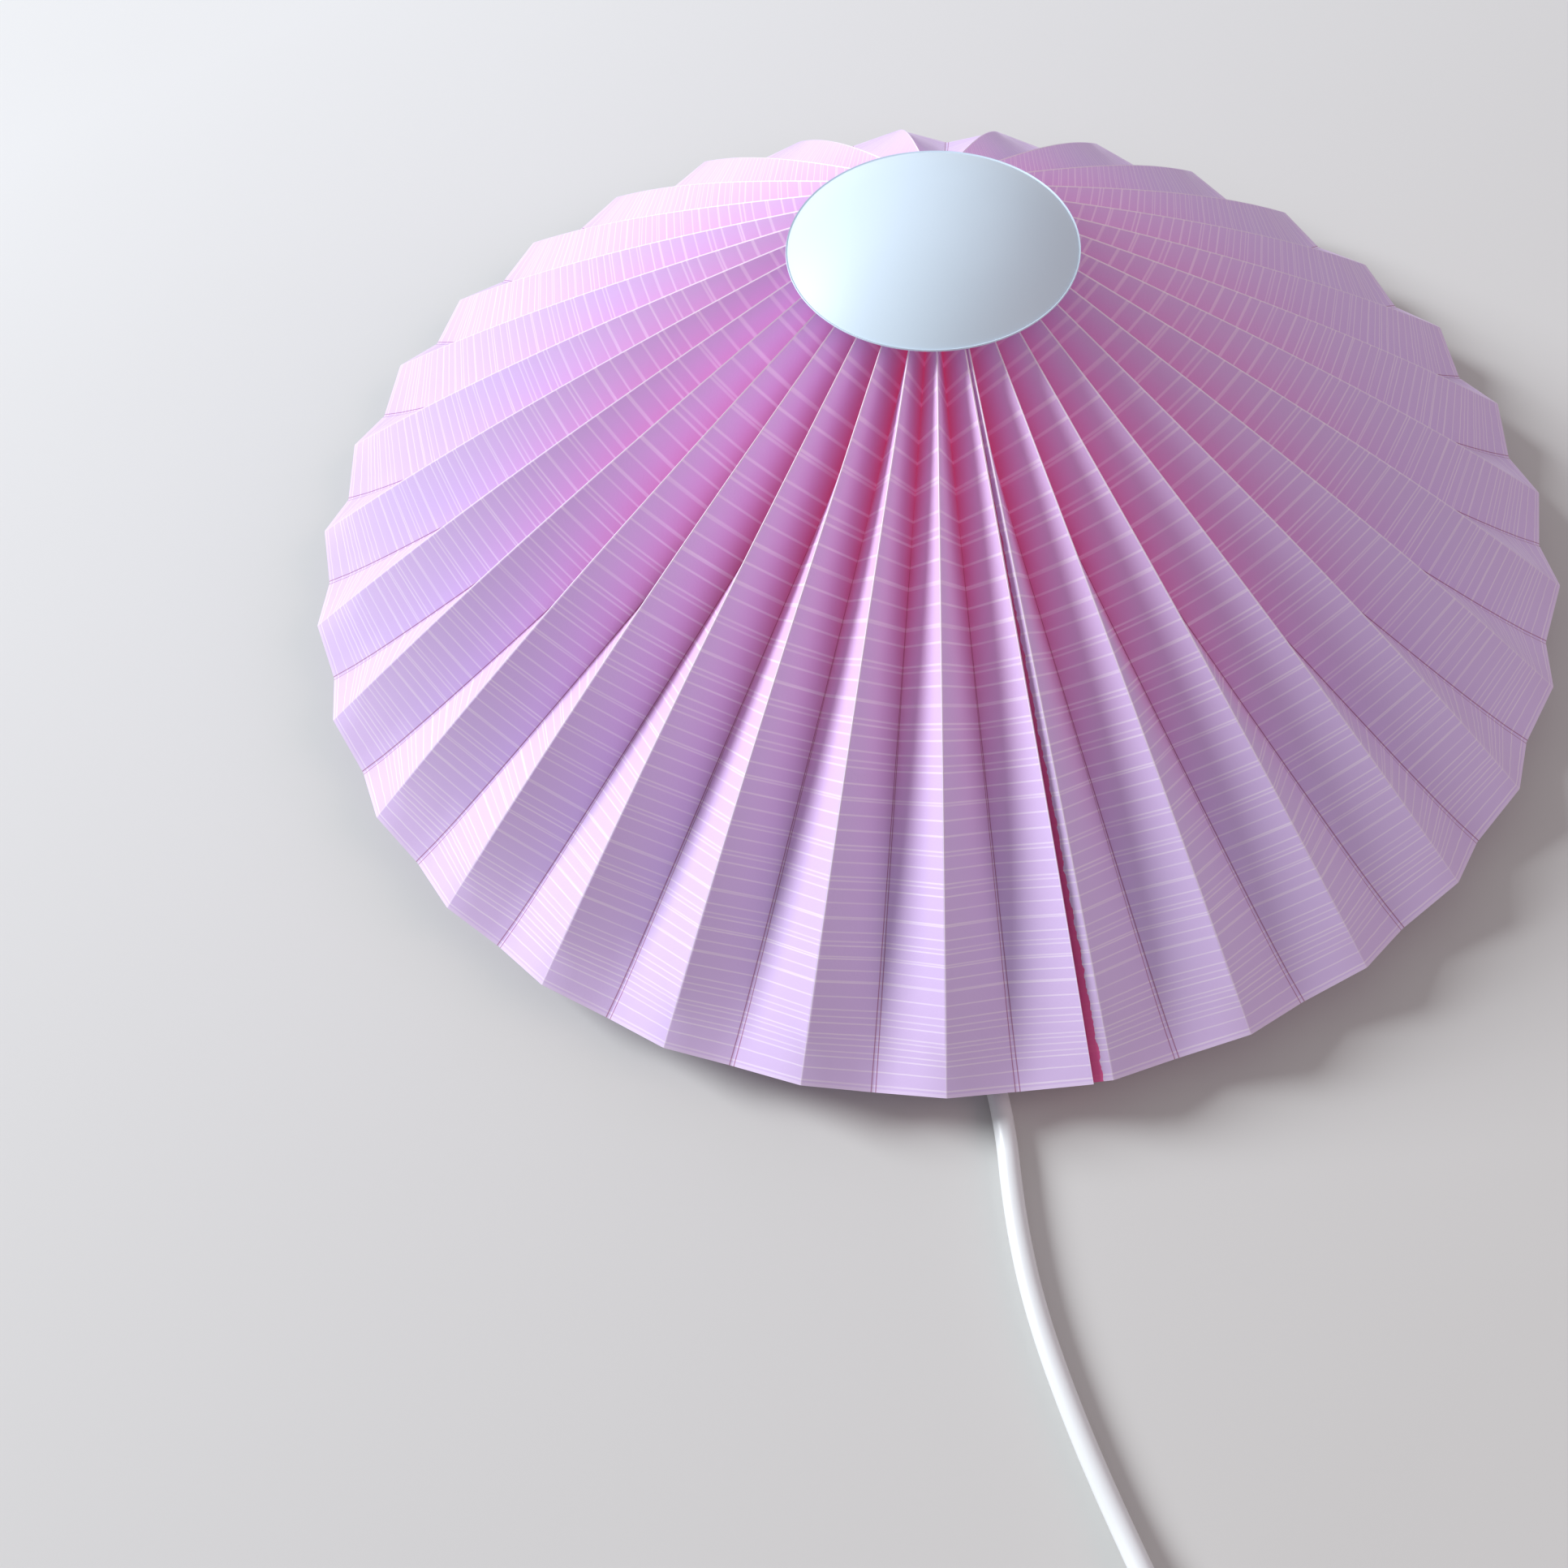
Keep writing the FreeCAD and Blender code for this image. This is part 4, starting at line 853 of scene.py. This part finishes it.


# %% [markdown]
# The paper is lilac, with fine off-white lines printed across the strip before it was
# folded. They run from fold to fold at uneven distances, sometimes close together. The
# strip's own UV map tells the print where it is: U counts along the strip, V across it.
# The folds show as light lines of painted highlight where the paper bends up, and as dark
# lines of painted shade where it bends down.

# %% Short ways to write ramps, blends and bands
def ramp_node(tree, value, stops):
    """Grey between two stops, which are (place, grey level) each."""
    ramp = add_node(tree, "ShaderNodeValToRGB", {"Fac": value})
    for element, (at, grey) in zip(ramp.color_ramp.elements, stops):
        element.position = at
        element.color = (grey, grey, grey, 1)
    return ramp.outputs["Color"]


def blend_node(tree, share, a, b):
    mix = tree.nodes.new("ShaderNodeMix")
    mix.data_type = "RGBA"
    for socket, value in ((mix.inputs[0], share), (mix.inputs[6], a), (mix.inputs[7], b)):
        if isinstance(value, bpy.types.NodeSocket):
            tree.links.new(value, socket)
        else:
            socket.default_value = value if isinstance(value, float) else (*value, 1)
    return mix.outputs[2]


def band_node(tree, distance, near, far):
    """1 closer than near, 0 further than far, smooth between."""
    return rescale_node(tree, distance, near, far, 1.0, 0.0, how="SMOOTHSTEP")


# %% Where a point lies on the strip
PAPER_LILAC = (0.73, 0.57, 0.89)
# painted shade and pink inter-reflected light, deep in the pleats near the cap
PAINTED_DEEP_PINK = (0.82, 0.13, 0.38)
PRINT_LINE = (0.95, 0.84, 0.98)
# painted highlight along each ridge
PAINTED_RIDGE_HIGHLIGHT = (0.97, 0.88, 0.95)
# painted shade in each valley crease
PAINTED_CREASE_SHADE = (0.34, 0.07, 0.18)
# painted shade and pink inter-reflection in the slit over the tucked first panel
PAINTED_SEAM_SHADE = (0.80, 0.07, 0.28)
UNEVEN_INK = (0.80, 0.54, 0.84)

paper_finish, tree, shader = new_finish("lilac_paper")
uv = add_node(tree, "ShaderNodeUVMap", uv_map="UVMap").outputs["UV"]
split = add_node(tree, "ShaderNodeSeparateXYZ", {"Vector": uv})
rim_share = split.outputs["Y"]
pleats_along = sum_node(tree, "MULTIPLY", split.outputs["X"], FOLDS / 2)
mm_down = sum_node(tree, "MULTIPLY", rim_share, STRIP_WIDTH * 1000)
# a zigzag that is 0 on every ridge and 1 on every valley
sawtooth = sum_node(tree, "FRACT", pleats_along)
zigzag = sum_node(tree, "ABSOLUTE", sum_node(tree, "MULTIPLY_ADD", sawtooth, 2.0, -1.0))
from_ridge = sum_node(tree, "MULTIPLY", zigzag, PANEL * 1000)
from_valley = sum_node(tree, "SUBTRACT", PANEL * 1000, from_ridge)

# %% Printed lines at uneven distances
# mean distance in mm, strength, randomness and start of each set of lines
LINE_SETS = ((4.9, 0.80, 0.50, 0.0), (9.5, 0.70, 1.0, 412.1))
LINE_CORE, LINE_FADE = 0.14, 0.42

lines = 0.0
stretch = sum_node(tree, "MULTIPLY_ADD", rim_share, 0.60, 0.42)
stretched = sum_node(tree, "MULTIPLY", mm_down, stretch)
for spacing, strength, randomness, start in LINE_SETS:
    sway = sum_node(tree, "MULTIPLY_ADD", noise_node(tree, uv, 9.0, 1.0), 1.2, start)
    place = sum_node(tree, "ADD", stretched, sway)
    cells = add_node(tree, "ShaderNodeTexVoronoi",
                     {"W": sum_node(tree, "DIVIDE", place, spacing), "Scale": 1.0,
                      "Randomness": randomness},
                     voronoi_dimensions="1D", feature="DISTANCE_TO_EDGE")
    distance = sum_node(tree, "MULTIPLY", cells.outputs["Distance"], spacing)
    line = band_node(tree, distance, LINE_CORE, LINE_FADE)
    lines = sum_node(tree, "MAXIMUM", lines, sum_node(tree, "MULTIPLY", line, strength))
# the ink is uneven from line to line and along a line
patchy = sum_node(tree, "MULTIPLY_ADD", noise_node(tree, uv, 45.0, 2.0), 0.9, 0.30)
lines = sum_node(tree, "MULTIPLY", lines, patchy)

# %% Paper colour, painted light and shade, and print together
# painted shade and pink inter-reflected light: the colour deepens to crimson towards the cap, most
# of all in the valleys
painted_valley_share = sum_node(tree, "MULTIPLY_ADD", sum_node(tree, "POWER", zigzag, 1.5), 0.85, 0.08)
painted_deep_share = sum_node(tree, "MULTIPLY", band_node(tree, rim_share, 0.05, 0.85), painted_valley_share)
colour = blend_node(tree, painted_deep_share, PAPER_LILAC, PAINTED_DEEP_PINK)
ink_cloud = sum_node(tree, "MULTIPLY", noise_node(tree, uv, 14.0, 3.0), 0.20)
colour = blend_node(tree, ink_cloud, colour, UNEVEN_INK)
colour = blend_node(tree, lines, colour, PRINT_LINE)
from_rim = sum_node(tree, "SUBTRACT", STRIP_WIDTH * 1000, mm_down)
rim_border = sum_node(tree, "MULTIPLY", band_node(tree, from_rim, 0.7, 1.1), 0.35)
colour = blend_node(tree, rim_border, colour, PRINT_LINE)
# painted shade in each valley crease: two dark lines, one on each side of a valley
crease_shade_offset = sum_node(tree, "MULTIPLY_ADD", rim_share, 0.55, 0.12)
crease_shade_distance = sum_node(tree, "ABSOLUTE", sum_node(tree, "SUBTRACT", from_valley, crease_shade_offset))
painted_crease_shade = sum_node(tree, "MULTIPLY", band_node(tree, crease_shade_distance, 0.06, 0.24), 0.70)
colour = blend_node(tree, painted_crease_shade, colour, PAINTED_CREASE_SHADE)
# a painted highlight along each ridge, thinner and fainter towards the rim
highlight_width = sum_node(tree, "MULTIPLY_ADD", rim_share, -0.25, 0.55)
highlight_strength = sum_node(tree, "MULTIPLY_ADD", rim_share, -0.70, 0.95)
# ridge here is the painted highlight's mask
ridge = sum_node(tree, "MULTIPLY", band_node(tree, from_ridge, 0.15, highlight_width), highlight_strength)
colour = blend_node(tree, ridge, colour, PAINTED_RIDGE_HIGHLIGHT)
# painted shade and pink inter-reflection in the slit over the glued first panel, with a ragged
# edge where its glue ends
ragged_edge = sum_node(tree, "MULTIPLY_ADD", noise_node(tree, uv, 60.0, 3.0), 2.2, 1.5)
painted_seam_shade = sum_node(tree, "MULTIPLY", sum_node(tree, "LESS_THAN", pleats_along, 0.5),
                 sum_node(tree, "GREATER_THAN", from_ridge, ragged_edge))
colour = blend_node(tree, sum_node(tree, "MULTIPLY", painted_seam_shade, 0.9), colour, PAINTED_SEAM_SHADE)
tree.links.new(colour, shader.inputs["Base Color"])

# %% [markdown]
# Thin paper lets some light through. Near the cap the pleats stand so close that light goes
# to and fro between them many times and comes out pink. A faint glow stands in for it there.

# %% Glow between the crowded pleats
GLOW_RIDGE, GLOW_VALLEY, NO_GLOW = (1.0, 0.45, 0.75), (1.0, 0.16, 0.45), (0.0, 0.0, 0.0)
GLOW_STRENGTH = 0.11

crowded = sum_node(tree, "MULTIPLY", band_node(tree, rim_share, 0.10, 0.80),
                   sum_node(tree, "MULTIPLY_ADD", zigzag, 0.55, 0.45))
glow_colour = blend_node(tree, zigzag, GLOW_RIDGE, GLOW_VALLEY)
tree.links.new(blend_node(tree, crowded, NO_GLOW, glow_colour), shader.inputs["Emission Color"])
shader.inputs["Emission Strength"].default_value = GLOW_STRENGTH

# %% Paper grain and sheen
where = add_node(tree, "ShaderNodeTexCoord").outputs["Object"]
fibre = noise_node(tree, where, 1400.0, 4.0, 0.65)
cockle = noise_node(tree, where, 30.0, 1.0)
height = sum_node(tree, "MULTIPLY_ADD", cockle, 3.0, fibre)
tree.links.new(relief_node(tree, 0.25, 0.0002, height), shader.inputs["Normal"])
roughness = ramp_node(tree, fibre, [(0.3, 0.62), (0.7, 0.78)])
tree.links.new(roughness, shader.inputs["Roughness"])
shader.inputs["Specular IOR Level"].default_value = 0.25
shader.inputs["Sheen Weight"].default_value = 0.15

# %% [markdown]
# The other finishes are plain mouldings, plated and painted metal, glass, thread and cord.
# Each takes the shared groups with its own values, so that all of them wear alike.

# %% Finishes for the other materials
# colour, roughness, grains per metre, depth of the grain and, where there is one, the coat
MOULDED = {
    # the cap is a cool white, tinted bluer still as painted cool light for its shaded lower side
    "cap_white": ((0.73, 0.88, 1.0), 0.50, 1500.0, 0.08),
    "white_plastic": ((0.82, 0.82, 0.80), 0.38, 900.0, 0.12),
    "white_gloss": ((0.84, 0.84, 0.82), 0.22, 600.0, 0.05, 0.3),
    "white_steel": ((0.80, 0.80, 0.78), 0.35, 450.0, 0.25, 0.2),
    "holder_plastic": ((0.80, 0.79, 0.75), 0.45, 800.0, 0.15),
    "ceramic_white": ((0.84, 0.82, 0.77), 0.18, 300.0, 0.08, 0.6),
    "clear_plastic": ((0.76, 0.78, 0.80), 0.25, 500.0, 0.05),
    "core_insulation": ((0.30, 0.12, 0.06), 0.35, 700.0, 0.05),
    "cord_pvc": ((0.84, 0.86, 0.87), 0.34, 700.0, 0.06),
    "fibre": ((0.30, 0.10, 0.06), 0.7, 1200.0, 0.4),
    "opal_glass": ((0.90, 0.90, 0.87), 0.12, 120.0, 0.02, 0.8),
    "black_glass": ((0.02, 0.02, 0.022), 0.15, 300.0, 0.05),
    "tape": ((0.62, 0.34, 0.46), 0.3, 500.0, 0.1),
    "thread": ((0.76, 0.70, 0.73), 0.85, 2500.0, 0.8),
    "tie_fabric": ((0.030, 0.030, 0.034), 0.9, 2200.0, 0.9),
    "black_plastic": ((0.02, 0.02, 0.02), 0.4, 800.0, 0.1),
}
METAL = {
    "zinc_steel": ((0.62, 0.64, 0.66), 0.32),
    "brass": ((0.78, 0.58, 0.26), 0.28),
    "nickel": ((0.74, 0.72, 0.68), 0.20),
}
finishes = {name: moulded_finish(name, *values) for name, values in MOULDED.items()}
finishes.update({name: metal_finish(name, *values) for name, values in METAL.items()})
finishes["lilac_paper"] = paper_finish
print(len(finishes), "finishes")

# %% Give every part its finish
for part in frame["record"]["subparts"]:
    if part["node"] in nodes:
        mesh = nodes[part["node"]].data
        mesh.materials.clear()
        mesh.materials.append(finishes[part["material_slot"]])
for slot, pieces in (
        ("lilac_paper", [paper_shade]), ("cap_white", [end_cap]), ("opal_glass", [globe]),
        ("nickel", [screw_cap]), ("white_plastic", [base_cover]), ("tie_fabric", [strap]),
        ("white_gloss", [lower_half, upper_half, plug]),
        ("holder_plastic", [ribbed_nut, lampholder]),
        ("cord_pvc", [strain_relief, lead_to_switch, lead_to_plug])):
    for piece in pieces:
        piece.data.materials.clear()
        piece.data.materials.append(finishes[slot])

# %% [markdown]
# The lamp lies on a smooth pale table. A large soft light stands for a window at the back
# left, a weaker warm one for the room at the right, and the world fills the shadows.

# %% Table
bpy.ops.object.select_all(action="DESELECT")
bpy.ops.mesh.primitive_plane_add(size=6.0, location=(0, 0, -0.0004))
table = bpy.context.object
table.name = "table"
# the first two colours are painted light and painted shade across the table; the mottle is the
# table's own
TABLE_PAINTED_LIGHT, TABLE_PAINTED_SHADE, TABLE_MOTTLE = (0.85, 0.87, 0.87), (0.65, 0.65, 0.63), (0.72, 0.70, 0.67)
table_finish, tree, shader = new_finish("table_top")
where = add_node(tree, "ShaderNodeTexCoord").outputs["Object"]
split = add_node(tree, "ShaderNodeSeparateXYZ", {"Vector": where})
# painted light and shade: cool and light at the back left, towards the window, warmer and darker
# towards the front right
painted_light_slant = sum_node(tree, "MULTIPLY_ADD", split.outputs["Y"], -0.9,
                 sum_node(tree, "MULTIPLY", split.outputs["X"], 0.8))
colour = blend_node(tree, rescale_node(tree, painted_light_slant, -0.5, 0.35, 0.0, 1.0), TABLE_PAINTED_LIGHT, TABLE_PAINTED_SHADE)
mottle = sum_node(tree, "MULTIPLY", noise_node(tree, where, 6.0, 4.0), 0.15)
colour = blend_node(tree, mottle, colour, TABLE_MOTTLE)
tree.links.new(colour, shader.inputs["Base Color"])
shader.inputs["Roughness"].default_value = 0.7
shader.inputs["Specular IOR Level"].default_value = 0.2
table.data.materials.append(table_finish)

# %% Light
LAMP_MIDDLE = Vector((0, 0, 0.05))


def soft_light(name, at, size, watts, colour):
    bpy.ops.object.light_add(type="AREA", location=at)
    light = bpy.context.object
    light.name = name
    light.data.shape = "DISK"
    light.data.size = size
    light.data.energy = watts
    light.data.color = colour
    light.rotation_euler = (LAMP_MIDDLE - Vector(at)).to_track_quat("-Z", "Y").to_euler()


soft_light("window", (-4.2, 1.00, 2.60), 2.2, 284.0, (0.92, 0.96, 1.0))
soft_light("room", (2.4, -0.5, 1.9), 2.0, 15.0, (1.0, 0.68, 0.69))
world = bpy.data.worlds.new("daylight")
bpy.context.scene.world = world
world.use_nodes = True
sky = world.node_tree.nodes["Background"]
sky.inputs["Color"].default_value = (0.97, 0.95, 1.0, 1)
sky.inputs["Strength"].default_value = 0.34
bpy.context.scene.view_settings.view_transform = "Standard"

# %% [markdown]
# Last, the scene is brought up to date.

# %% Finish
bpy.context.view_layer.update()
